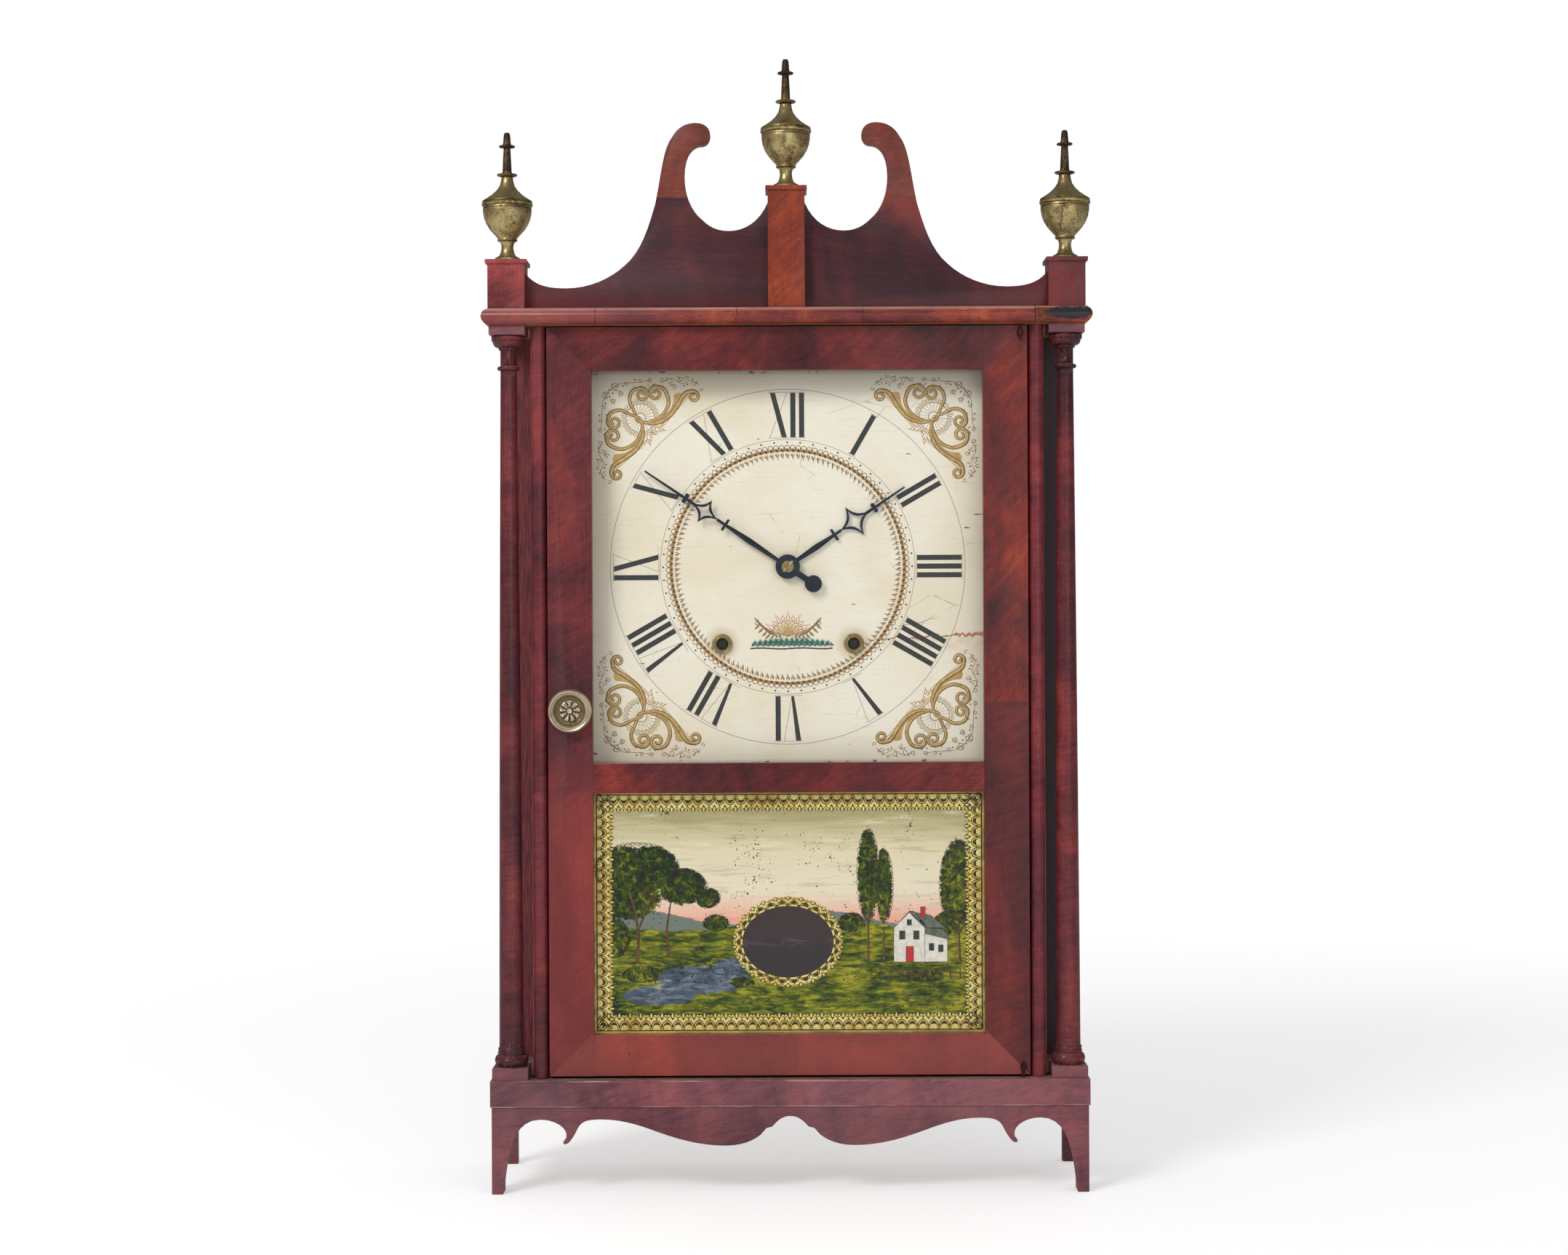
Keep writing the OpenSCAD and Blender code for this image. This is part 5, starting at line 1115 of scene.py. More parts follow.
def scallop_unit(place, pitch):
    """One unit of the scalloped border: s runs along it, r from its outer edge inwards."""
    half = pitch / 2

    def arc(wide, foot, tall, steps, middle=0, sweep=math.pi):
        """Points over a half ellipse, or round a whole one."""
        return [place(middle + wide * math.cos(sweep * k / steps),
                      foot + tall * math.sin(sweep * k / steps)) for k in range(steps + 1)]

    lines = [
        (arc(half, 1.2, 4.9, 10), 0.72), (arc(half * 0.74, 1.2, 3.4, 8), 0.4),
        (arc(1.25, 1.6, 1.25, 8, half, math.tau), 0.45),
        (arc(half * 0.5, 6.2, 2.4, 6, half * -0.5), 0.5),
        (arc(half * 0.5, 6.2, 2.4, 6, half * 0.5), 0.5),
        (arc(0.95, 8.6, 2, 10, half, math.tau), 0.4),
    ]
    for lean in (-0.45, 0.0, 0.45):
        lines.append(([place(half * lean * 1.3, 8.4), place(half * lean * 1.5, 10.1)], [0.8, 0.3]))
    shade = [(arc(half * 0.62, 1.7, 2.6, 8)[1:-1], [0.5, 1.4, 2.3, 2.8, 2.3, 1.4, 0.5]),
             ([place(half - 0.3, 1.6), place(half + 0.3, 1.6)], 1.5)]
    leaf = [([place(half, 7), place(half, 8.6), place(half, 10.4)], [1.8, 2.6, 1.0]),
            (arc(half * 0.9, 7.4, 1.1, 6), 2.2)]
    return lines, shade, leaf


def scribble(place, loops, size, start, sweep):
    """A pen line that runs round an ellipse in small loops, as leaves are drawn."""
    cx, cz, wide, high = place
    steps = 9
    line = []
    for k in range(loops * steps + 1):
        t = math.radians(start + sweep * k / (loops * steps))
        turn = math.tau * k / steps
        jog = 1 + 0.35 * math.sin(k * 0.37) + 0.2 * math.sin(k * 1.13)
        line.append((cx + wide * math.cos(t) + size * jog * math.cos(turn),
                     cz + high * math.sin(t) + size * jog * math.sin(turn)))
    return line


def cottage():
    """White gabled barn with a lean-to: filled outlines by colour, and its pen lines."""
    walls = [[(74, 160), (96, 160), (96, 184), (85, 196), (74, 184)],
             [(96, 160), (112, 160), (112, 176), (96, 180)]]
    roof = [[(74, 184), (85, 196), (88, 196), (98, 184), (96, 184), (85, 195)],
            [(96, 180), (112, 176), (114, 176), (108, 184), (98, 184)],
            [(85, 196), (100, 193), (112, 183), (98, 184)]]
    dark = [oblong(78, 176, 82, 182), oblong(88, 176, 92, 182), oblong(83.4, 186, 86.6, 190),
            oblong(99, 168, 102.4, 173), oblong(105.6, 167, 109, 172)]
    red = [oblong(82.6, 160, 88, 171), oblong(93, 192, 96.4, 199)]
    pen = [(closed(loop), 0.35) for loop in walls + roof + dark + red]
    return walls, roof, dark, red, pen


class CLOCK_OT_tablet(bpy.types.Operator):
    """Painted tablet: landscape, gold scallop border and a dark oval of painted shade with its gold
    ring
    """

    bl_idname = "clock.tablet"
    bl_label = "Tablet"

    def execute(self, context):
        face = TABLET_FACE
        dress("tablet_glass", landscape())
        gold = bronze_leaf()
        ink = painted("Tablet ink", rgb(34, 26, 20), rgb(58, 42, 26), 3, 0, 0.35)
        smudge = painted("Tablet umber", rgb(62, 44, 22), rgb(112, 84, 40), 2.2, 0.1, 0.4)
        left, right = TABLET[0].x + 3, TABLET[1].x - 3
        low, high = TABLET[0].z + 3, TABLET[1].z - 3
        deep, lap = 13.2, 2.6
        rims = [oblong(left - lap, low - lap, right + lap, low + deep),
                oblong(left - lap, high - deep, right + lap, high + lap),
                oblong(left - lap, low + deep, left + deep, high - deep),
                oblong(right - deep, low + deep, right + lap, high - deep)]
        pen, shade, leaf = [], [], []
        sides = (((left, high), (1, 0), (0, -1), right - left, 36),
                 ((left, low), (1, 0), (0, 1), right - left, 36),
                 ((left, low), (0, 1), (1, 0), high - low, 22),
                 ((right, low), (0, 1), (-1, 0), high - low, 22))
        for (sx, sz), (ax, az), (ix, iz), length, count in sides:
            pitch = (length - 9.6) / count
            for k in range(count):
                def place(s, r, k=k):
                    t, depth = 4.8 + (k + 0.5) * pitch + s, 4.4 + r * 1.16
                    return (sx + ax * t + ix * depth, sz + az * t + iz * depth)

                for group, lines in zip((pen, shade, leaf), scallop_unit(place, pitch)):
                    group.extend(lines)
            edge = [(sx + ax * t + ix * 4.3, sz + az * t + iz * 4.3) for t in (4.3, length - 4.3)]
            pen.append((edge, 0.8))
        (cx, cz), (wide, tall) = OVAL, OVAL_SIZE
        count = 26
        for k in range(count):
            def place(s, r, k=k):
                angle = math.tau * k / count + s / 31
                return (cx + (wide - 0.8 + r * 0.74) * math.cos(angle),
                        cz + (tall - 0.8 + r * 0.74) * math.sin(angle))

            for group, lines in zip((pen, shade, leaf), scallop_unit(place, 7.0)):
                group.extend(lines)
        for (x, z, across, up), *pattern in PENNED:
            pen.append((scribble((x, z, across * 0.94, up * 0.92), *pattern), 0.36))
        for sx, sz, count in ((-118, 128, 5), (-70, 125, 7), (18, 131, 6), (66, 127, 8),
                              (40, 146, 4)):
            pen.append((through([(sx + 3.2 * k, sz + (2.0 if k % 2 else 0) + 0.3 * k)
                                 for k in range(count)], 5), 0.3))
        bark = [([(-108, 160), (-107, 178), (-109, 196), (-114, 212)], [3.2, 2.2, 1.9, 1.2]),
                ([(-107, 184), (-101, 198), (-95, 212)], [1.9, 1.5, 1.0]),
                ([(-86, 164), (-87, 184), (-84, 204)], [2.4, 1.7, 1.1]),
                ([(56, 160), (56, 186), (56.5, 200)], [1.8, 1.2, 0.8]),
                ([(67, 160), (67, 184)], [1.6, 0.9]),
                ([(121, 158), (120, 182), (121, 194)], [2.2, 1.5, 1])]
        rails = [([(x, 150 + dz + math.sin(x * 0.09)),
                   (x + 7, 150 + dz + math.sin(x * 0.09 + 0.6))], 0.5)
                 for x in range(58, 124, 7) for dz in (0, 3.4)]
        rails += [([(x, 147.4), (x, 155.6)], 0.9) for x in range(58, 128, 7)]
        walls, roof, dark, red, lines = cottage()
        halo = [ellipse(OVAL, wide + proud, tall + proud, 64) for proud in (5.4, -0.6)]
        pieces = [outline_piece("Border", [loop], face - 0.03, face + 0.02) for loop in rims]
        pieces.append(outline_piece("Halo", halo, face - 0.035, face + 0.02))
        finish_piece(join("Tablet_border", *pieces, strokes("Leaf tips", leaf, face - 0.02, 0.06)),
                     "door", "tablet_paint", gold)
        # the oval is a near-black sheet of painted shade standing for the dark inside of the case
        oval = outline_piece("Tablet_oval", [ellipse(OVAL, wide, tall, 48)], face - 0.07,
                             face + 0.02)
        finish_piece(oval, "door", "tablet_paint", oval_painted_shade())
        for name, loops, proud, tones in (
            ("Barn_walls", walls, 0.045, (rgb(236, 232, 220), rgb(214, 208, 196))),
            ("Barn_roof", roof, 0.055, (rgb(112, 118, 104), rgb(80, 88, 78))),
            ("Barn_windows", dark, 0.065, (rgb(34, 42, 38), rgb(58, 70, 60))),
            ("Barn_red", red, 0.065, (rgb(206, 44, 40), rgb(170, 58, 48))),
        ):
            piece = join(name, *[outline_piece(name, [loop], face - proud, face + 0.02)
                                 for loop in loops])
            finish_piece(piece, "door", "tablet_paint", painted(name, *tones, 4, 0, 0.3))
        for name, drawn, level, paint in (
            ("Tablet_bark", bark + rails, face - 0.02,
             painted("Bark", rgb(120, 84, 48), rgb(72, 52, 40), 3, 0, 0.35)),
            ("Tablet_shade", shade, face - 0.06, smudge),
            ("Tablet_pen", pen + lines, face - 0.08, ink),
        ):
            finish_piece(strokes(name, drawn, level, 0.06), "door", "tablet_paint", paint)
        return {"FINISHED"}


def oval_painted_shade():
    """Near-black brown painted shade in the oval for the dark case inside, glassy, with grey marks
    rubbed where dust has caught.
    """
    finish = Finish("Oval painted shade")
    cloud = finish.grain(finish.stretch((0.35, 1, 1)), 9, 5, 0.65, 0.6)
    fine = finish.grain(finish.place, 3, 4, 0.7)
    belt = abs(finish.z - 174.5).rise(5, 1) * cloud.rise(0.46, 0.62)
    upper = finish.z.rise(174, 180) * cloud.rise(0.62, 0.72)
    colour = finish.mix(finish.z.rise(170, 180), rgb(40, 28, 34), rgb(50, 32, 34))
    colour = finish.mix((belt * 0.4 + upper * 0.3).clear(), colour, rgb(100, 96, 98))
    colour = finish.mix(fine.rise(0.72, 0.75) * 0.6, colour, rgb(150, 150, 148))
    finish.set(Coat_Weight=0.4, Coat_Roughness=0.1)
    return finish.done(colour, 0.16 + cloud * 0.2, cloud, 0.05, 0.3)


# Four tones each, from dark to light, of the columns, the base and the beads beside the door
SIDE = rgb(42, 14, 20), rgb(96, 34, 40), rgb(132, 50, 50), rgb(166, 70, 54)
# The base's paler, pinker tones are partly its own colour and partly painted reflection of the pale
# floor
BASE = rgb(74, 40, 48), rgb(118, 66, 74), rgb(148, 82, 86), rgb(170, 98, 86)
BEAD = rgb(50, 18, 24), rgb(104, 34, 42), rgb(134, 50, 50), rgb(160, 68, 54)
# How each node's grain runs: along, its slope, a shift of the figure, lightness and tones
WOOD = {
    "base_frame": ("x", -24, (11, 20, 5), 1.0, BASE),
    "front_apron": ("x", -18, (44, 0, 18), 0.9, BASE),
    "side_aprons": ("y", 20, (0, 41, 7), 0.8, BASE),
    "case_sides": ("z", -10, (31, 12, 0), 1.14, BEAD),
    "columns": ("z", -8, (3, 61, 20), 1.0, SIDE),
    "column_blocks": ("x", -15, (22, 7, 45), 0.95, BASE),
}


def moulding_lines():
    """Heights of the hollows between the column mouldings, with half widths."""
    low, high = (corner.z for corner in corners("columns"))
    return ((low, 0.5), (low + 9.1, 0.45), (low + 11.0, 0.4), (low + 13.2, 0.3),
            (high - 24.6, 0.35), (high - 21.3, 0.35), (high - 10.2, 0.4), (high - 8.2, 0.4),
            (high - 3.6, 0.35), (high - 0.4, 0.6))


class CLOCK_OT_case(bpy.types.Operator):
    """Base, aprons, case sides, columns and blocks in mahogany with eased arrises"""

    bl_idname = "clock.case"
    bl_label = "Case and columns"

    def execute(self, context):
        case = context.scene.clock_case
        low, high = corners("base_frame")
        ledges = high.z - 0.4, low.z + 0.4
        for node, (along, slope, shift, light, tones) in WOOD.items():
            name = node.capitalize().replace("Case", "Upright")
            # pieces in the base tones get a stronger pinkish haze, partly painted reflection of the
            # pale floor
            wood = mahogany(name + " mahogany", along, slope, shift, light * case.tone, tones,
                            dust=case.dust, bloom=0.2 if tones is BASE else 0.06,
                            hollows=moulding_lines() if node == "columns" else (),
                            ledges=ledges if node == "base_frame" else ())
            width = 0 if node == "columns" else case.easing
            rounded(node, name, width, "case", "mahogany", wood)
        return {"FINISHED"}


def backboard_wood():
    """Backboard: bare pine behind and inside the case, stained red on the wings in front, the right
    wing darkened nearly black as painted shade.
    """
    finish = Finish("Backboard")
    bare, fibre, height = bare_wood(finish, "z", (0, 0, 0), PINE, 0.45, 0.4, 0.35)
    wing = (finish.y < corners("backboard")[1].y - 0.4) * (abs(finish.x) > CASE_OUT - 0.5)
    red = finish.mix(fibre.rise(0.35, 0.65), rgb(80, 34, 40), rgb(142, 60, 64))
    # painted shade: the right wing, out of the light, is made nearly black
    red = finish.mix(finish.x.rise(-1, 1) * 0.85, red, rgb(26, 14, 18))
    rough = 0.62 + fibre * 0.2 - wing * 0.25
    return finish.done(finish.mix(wing, bare, red), rough, height, 0.15, 0.6)


class CLOCK_OT_boards(bpy.types.Operator):
    """Pine backboard, bottom and top boards, strips and pulley covers"""

    bl_idname = "clock.boards"
    bl_label = "Pine boards"

    def execute(self, context):
        for node, along, shift in (
            ("base_board", "x", (40, 9, 0)), ("top_board", "x", (7, 70, 0)),
            ("inner_strips", "z", (5, 3, 20)), ("glazing_strips", "x", (60, 0, 8)),
            ("pulley_covers", "y", (33, 21, 4)),
        ):
            dress(node, board(node + " pine", along, PINE, shift))
        back = merged("backboard", "Backboard")
        top = corners("backboard")[1].z
        for corner in back.data.vertices:
            if corner.co.z > (top - 1) * MM:     # the back runs up to the top board
                corner.co.z += (corners("top_board")[0].z - top) * MM
        smooth(back)
        finish_piece(back, "case", "pine", backboard_wood(), instead=("backboard",))
        return {"FINISHED"}


class CLOCK_OT_door(bpy.types.Operator):
    """Door frame with mitred veneer, and the dial glass"""

    bl_idname = "clock.door"
    bl_label = "Door"

    def execute(self, context):
        veneer = door_veneer()
        for node in ("door_stiles", "door_rails"):
            rounded(node, node.capitalize(), context.scene.clock_case.easing * 0.6, "door",
                    "mahogany", veneer)
        dress("dial_glass", old_glass())
        return {"FINISHED"}


HORN_JOINT = CREST_FOOT + 78.5       # above it the scroll board's horns are of another board


def scroll_wood():
    """Scroll board: dark boards below, horns of another lighter board above a joint line."""
    finish = Finish("Scroll board mahogany")
    dark = (rgb(40, 20, 28), rgb(60, 28, 36), rgb(82, 34, 40), rgb(118, 44, 38))
    light = (rgb(80, 36, 32), rgb(112, 50, 38), rgb(142, 66, 46), rgb(176, 92, 60))
    body, pores = veneer_colour(finish, "x", 4, (20, 0, 30), dark, 12)
    horn, _ = veneer_colour(finish, "x", -12, (70, 0, 3), light, 4)
    edge = abs(finish.x).rise(120, 175) * 0.35 + finish.z.rise(CREST_FOOT + 14, CREST_FOOT) * 0.3
    body = finish.mix(edge, body, rgb(124, 44, 42))
    neck = finish.z.rise(HORN_JOINT - 44, HORN_JOINT - 4) * abs(finish.x).rise(38, 60)
    ember = finish.grain(finish.stretch((0.5, 1, 1)), 26, 4, 0.6, 0.4)
    body = finish.mix(neck * ember.rise(0.3, 0.62) * finish.x.rise(-160, 90) * 0.62, body,
                      rgb(150, 54, 34))
    above = finish.z.rise(HORN_JOINT - 0.2, HORN_JOINT + 0.2)
    colour = finish.mix(above, body, horn)
    seam = abs(finish.z - HORN_JOINT).rise(0.5, 0.15)
    colour = finish.mix(seam * 0.25, colour, rgb(40, 20, 24))
    return varnished(finish, colour, pores, 0.3)


CORNICE_JOINT = 174.4                # right of it a filled loss
CORNICE_CRACKS = ((-134.5, 1.5, 0.4), (53.6, 1.5, 0.35), (-35.4, 8, 0.5))


def cornice_wood():
    """Half-round cornice: streaked length, a painted highlight along its upper round, cracks
    across, and a filled loss at the right end.
    """
    finish = Finish("Cornice mahogany")
    x, z = finish.x, finish.z
    tones = (rgb(66, 26, 28), rgb(126, 50, 46), rgb(172, 78, 52), rgb(216, 124, 68))
    colour, pores = veneer_colour(finish, "x", 1, (9, 3, 17), tones, 4)
    colour = finish.mix(x.rise(-60, -150) * 0.5, colour, rgb(142, 74, 76))
    # painted highlight: a pale pinkish band along the cornice's upper round
    top = z.rise(CORNICE[1].z - 3.6, CORNICE[1].z - 1.6)
    colour = finish.mix(top * 0.5, colour, rgb(200, 150, 140))
    wander = finish.grain(finish.stretch((0, 1, 1)), 4, 4, 0.7)
    ragged = finish.grain(finish.place, 5, 4, 0.7)
    for place, ragging, wide in CORNICE_CRACKS:
        crack = abs(x - place - (wander - 0.5) * ragging).rise(wide, wide * 0.3)
        colour = finish.mix(crack * 0.85, colour, rgb(28, 14, 14))
    joint = x.rise(CORNICE_JOINT - 0.2, CORNICE_JOINT + 0.2)
    raw = finish.mix(ragged.rise(0.4, 0.6), rgb(82, 34, 24), rgb(136, 66, 36))
    colour = finish.mix(joint * x.rise(194, 184) * (z < CORNICE[1].z - 1.5), colour, raw)
    colour = finish.mix(abs(x - CORNICE_JOINT).rise(0.5, 0.2), colour, rgb(30, 14, 14))
    reach = reach_of((x - 200) * (1 / 17), (z - CORNICE[1].z + 5) * (1 / 5))
    patch = (reach + (ragged - 0.5) * 1.1).rise(1.02, 0.96) * (finish.y < CORNICE[0].y + 9)
    colour = finish.mix(patch, colour, finish.mix(ragged, rgb(22, 22, 26), rgb(60, 58, 60)))
    return varnished(finish, colour, pores, 0.26, 0.4, ledges=(CORNICE[1].z - 1.2,))


def plinth_wood():
    """Crest plinths: the middle one of brighter orange veneer than the red side ones."""
    finish = Finish("Plinth mahogany")
    side = (rgb(80, 28, 32), rgb(144, 58, 58), rgb(176, 80, 76), rgb(196, 104, 84))
    centre = (rgb(84, 28, 24), rgb(128, 46, 28), rgb(160, 66, 30), rgb(196, 98, 44))
    red, pores = veneer_colour(finish, "z", -20, (0, 10, 55), side)
    orange, _ = veneer_colour(finish, "z", -38, (30, 0, 12), centre)
    right = finish.x.rise(60, 61)
    red = finish.mix(right * 0.7, red, rgb(96, 36, 38))
    colour = finish.mix(abs(finish.x).rise(61, 60), red, orange)
    return varnished(finish, colour, pores, 0.28)


class CLOCK_OT_crest(bpy.types.Operator):
    """Scroll board, plinths and cornice"""

    bl_idname = "clock.crest"
    bl_label = "Crest"

    def execute(self, context):
        for node, wood in (("scroll_board", scroll_wood()), ("crest_plinths", plinth_wood()),
                           ("cornice", cornice_wood())):
            rounded(node, node.capitalize(), context.scene.clock_case.easing * 0.7, "case",
                    "mahogany", wood)
        return {"FINISHED"}


URN_FOOT, URN_LIFT = CREST_FOOT + 34.5, 51       # a side finial's foot, and the middle one's lift
URN_GROOVES = ((2.2, 0.4), (14.4, 0.5), (37.0, 0.5), (38.9, 0.4), (41.8, 0.6), (59.8, 0.5),
               (80.6, 0.5))


def finial_brass():
    """Finials: mottled brass, browner towards the tip, with a crack in the right one's bowl."""
    finish = Finish("Finial brass")
    x, z = finish.x, finish.z
    height = z - (URN_FOOT + abs(x).rise(101, 100) * URN_LIFT)
    blotch = finish.grain(finish.place, 9, 5, 0.62, 0.5)
    speck = finish.grain(finish.place, 1.4, 4, 0.7)
    mask = (blotch * 0.6 + speck * 0.4).rise(0.44, 0.64) * 0.75
    mask = (mask + height.rise(54, 66) * 0.7 + height.rise(84, 88) * 0.3).clear()
    for level, half in URN_GROOVES:
        mask = (mask + abs(height - level).rise(half, half * 0.4) * 0.6).clear()
    wander = finish.grain(finish.stretch((0, 1, 1)), 9, 4, 0.7)
    split = abs(x - 193.8 - (wander - 0.5) * 7).rise(0.4, 0.12)
    split = split * height.rise(18, 19) * height.rise(36, 35) * (finish.y < CREST_Y)
    colour = finish.ramp(mask, (0.0, rgb(198, 180, 128)), (0.35, rgb(160, 140, 94)),
                         (0.7, rgb(106, 86, 56)), (1.0, rgb(62, 46, 32)))
    colour = finish.mix(split, colour, rgb(30, 24, 16))
    return finish.done(colour, 0.32 + mask * 0.22 + speck * 0.12,
                       speck * 0.6 + blotch * 0.3 - split, 0.12, 0.5,
                       Metallic=0.92 - mask * 0.35)


def knob_brass():
    """Door knob: polished rims round a dark hollow, and a rosette rubbed bright on its petals."""
    finish = Finish("Knob brass")
    x, z = finish.x - KNOB.x, finish.z - KNOB.z
    radius = reach_of(x, z)
    angle = finish.node("ShaderNodeMath", {"operation": "ARCTAN2"}, {0: z, 1: x})
    petal = (angle * 9).wave() * 0.5 + 0.5
    speck = finish.grain(finish.place, 1.2, 4, 0.7)
    blotch = finish.grain(finish.place, 6, 4, 0.6)
    hollow = radius.rise(6.9, 7.6) * radius.rise(11.3, 10.2)
    between = radius.rise(1.9, 2.4) * radius.rise(7.4, 6.8) * (petal.rise(0.55, 0.25))
    inner = abs(radius - 2.3).rise(0.6, 0.2)
    grooves = (abs(radius - 11.6).rise(0.4, 0.1) + abs(radius - 13.1).rise(0.35, 0.1)).clear()
    mask = (hollow * 0.6 + between * 0.9 + inner * 0.7 + grooves * 0.6
            + blotch.rise(0.5, 0.7) * 0.3).clear()
    colour = finish.ramp(mask, (0.0, rgb(232, 220, 194)), (0.5, rgb(164, 146, 112)),
                         (1.0, rgb(64, 48, 34)))
    return finish.done(colour, 0.3 + mask * 0.25 + speck * 0.1, speck * 0.5 - mask * 0.5,
                       0.12, 0.5, Metallic=0.9 - mask * 0.4)


def winding_drum():
    """Cherry winding drum whose arbor is dark iron in front of the plate."""
    finish = Finish("Winding drum")
    fibre = finish.grain(finish.stretch(ALONG["y"]), 1.1, 4, 0.7)
    speck = finish.grain(finish.place, 1.2, 4, 0.7)
    wood = finish.ramp(fibre, *zip((0.3, 0.5, 0.7), CHERRY))
    iron_part = finish.y < -1
    dark = finish.mix(speck, rgb(20, 18, 18), rgb(56, 50, 46))
    return finish.done(finish.mix(iron_part, wood, dark), 0.5 + speck * 0.2, fibre, 0.1, 0.5,
                       Metallic=iron_part * 0.8)


class CLOCK_OT_movement(bpy.types.Operator):
    """Cherry plates and wheels, iron work, weights and cords"""

    bl_idname = "clock.movement"
    bl_label = "Movement"

    def cord(self, side, twist):
        """A weight's cord in two pieces: its run from drum to pulley, and its fall.
        """
        node = side + "_cord"
        axle, weight = middle(side + "_pulley").z, middle(side + "_weight")
        end = corners(node)[0].z
        pieces = [merged(node, node.capitalize() + part) for part in ("_run", "_fall")]
        for piece, is_fall in zip(pieces, (False, True)):
            edit(piece)
            bpy.ops.mesh.select_all(action="DESELECT")
            shape = bmesh.from_edit_mesh(piece.data)
            for face in shape.faces:
                face.select = all(abs(v.co.x / MM - weight.x) < CORD_REACH for v in face.verts)
            bmesh.update_edit_mesh(piece.data)
            bpy.ops.mesh.bisect(plane_co=(0, 0, axle * MM), plane_no=(0, 0, 1), use_fill=True,
                                clear_inner=not is_fall, clear_outer=is_fall)
            if is_fall:
                bpy.ops.mesh.select_all(action="DESELECT")
                shape = bmesh.from_edit_mesh(piece.data)
                for corner in shape.verts:
                    corner.select = (abs(corner.co.x / MM - weight.x) > CORD_REACH
                                     or corner.co.z > (axle + 0.01) * MM)
                bmesh.update_edit_mesh(piece.data)
                bpy.ops.mesh.delete(type="VERT")
            leave()
            smooth(piece)
        run, fall = pieces
        finish_piece(run, "case", "cord", twist, instead=(node,))
        finish_piece(fall, "case", "cord", twist)
        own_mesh(fall)

    def execute(self, context):
        for finish, nodes in (
            (board("Cherry", "z", CHERRY, (3, 1, 2), 0.5),
             ("front_plate", "back_plate", "plate_pillars", "hour_wheel", "motion_wheel",
              "time_main_wheel", "second_wheel", "third_wheel", "strike_main_wheel",
              "pin_wheel", "warning_wheel", "count_wheel")),
            (winding_drum(), ("time_drum", "strike_drum")),
            (iron("Iron work", rgb(74, 72, 72), 0.3, 0.45),
             ("plate_studs", "bell_post", "latch_hook", "verge", "hammer", "lifting_lever")),
            (iron("Hinge wire", rgb(92, 44, 40), 0.6, 0.5), ("hinge_wires", "hinge_eyes")),
            (iron("Cast iron", rgb(52, 50, 50), 0.5, 0.6, 0.5), ("time_weight", "strike_weight")),
        ):
            for node in nodes:
                dress(node, finish)
        twist = twine()
        for side in ("time", "strike"):
            self.cord(side, twist)
        blued = iron("Blued steel", rgb(34, 42, 60), 0.1, 0.3, 0.1)
        for node, body in (("minute_hand", "minute"), ("hour_hand", "hour")):
            rounded(node, node.capitalize(), 0.22, body, "blued_steel", blued)
        return {"FINISHED"}


# Lathe profiles as (radius, height)
URN = (
    (0, 0), (9.1, 0), (9.1, 1.8), (8.4, 2.5), (7.2, 3.0), (5.7, 4.2), (4.7, 6.6), (4.2, 9.8),
    (4.6, 12.4), (5.4, 13.7), (6.8, 14.3), (7.1, 15.0), (6.7, 15.8), (7.3, 16.9), (9.7, 19.4),
    (12.6, 22.8), (14.9, 26.6), (16.4, 30.6), (17.1, 34.6), (17.2, 37.4), (16.8, 38.4),
    (17.6, 38.9), (18.0, 39.7), (18.0, 40.5), (17.3, 41.0), (17.8, 41.5), (17.6, 42.4),
    (16.9, 43.0), (14.8, 44.3), (11.0, 46.9), (7.6, 50.1), (5.3, 53.5), (4.3, 57.2), (4.0, 59.9),
    (6.8, 60.5), (7.3, 61.1), (6.8, 61.7), (3.6, 62.2), (3.2, 63.6), (3.0, 69), (2.6, 77),
    (2.4, 80.0), (5.3, 80.7), (5.8, 81.3), (5.3, 81.9), (3.0, 82.5), (2.6, 84.6), (2.6, 86),
    (2.2, 89.8), (1.6, 91.0), (0, 91.4),
)
KNOB_PROFILE = (
    (0, -15), (2.6, -15), (2.6, 0), (14.9, 0.1), (15.3, 2), (15.45, 5.4), (15.2, 8.2),
    (14.7, 9.7), (14.0, 10.3), (13.3, 10.0), (13.0, 9.2), (12.6, 8.9), (12.2, 9.3), (11.7, 9.4),
    (11.3, 8.8), (10.7, 6.6), (9.6, 5.0), (8.4, 4.5), (7.8, 4.8), (7.4, 5.6), (6.6, 6.0),
    (3.4, 5.8), (2.6, 6.4), (2.3, 7.6), (1.5, 8.4), (0, 8.7),
)
URN_HALF = 18.1          # from a side finial's axis to its outermost point
EYELET_HALF = 7.3        # the same for a winding eyelet
EYELET = (
    (7.1, 0), (7.2, 0.9), (6.9, 1.8), (6.3, 2.2), (5.7, 2.0), (5.3, 1.4), (4.9, 1.6), (4.5, 1.5),
    (4.3, 0.9), (4.2, -4.6), (4.7, -4.8), (4.8, 0.1), (7.1, 0),
)


def facing(name, profile, place, steps=64):
    """A lathe piece that faces forward: heights of its profile are measured towards the front."""
    piece = turned(name, profile, (0, 0), steps)
    piece.rotation_euler = (math.pi / 2, 0, 0)
    piece.location = tuple(value * MM for value in place)
    settle(piece)
    return piece


def bead(place, radius, flat=0.7):
    """A small cast bead, flattened from front to back."""
    bpy.ops.mesh.primitive_uv_sphere_add(segments=16, ring_count=10, radius=radius * MM,
                                         location=tuple(value * MM for value in place))
    bpy.context.object.scale = (1, flat, 1)
    piece = bpy.context.object
    settle(piece)
    return piece


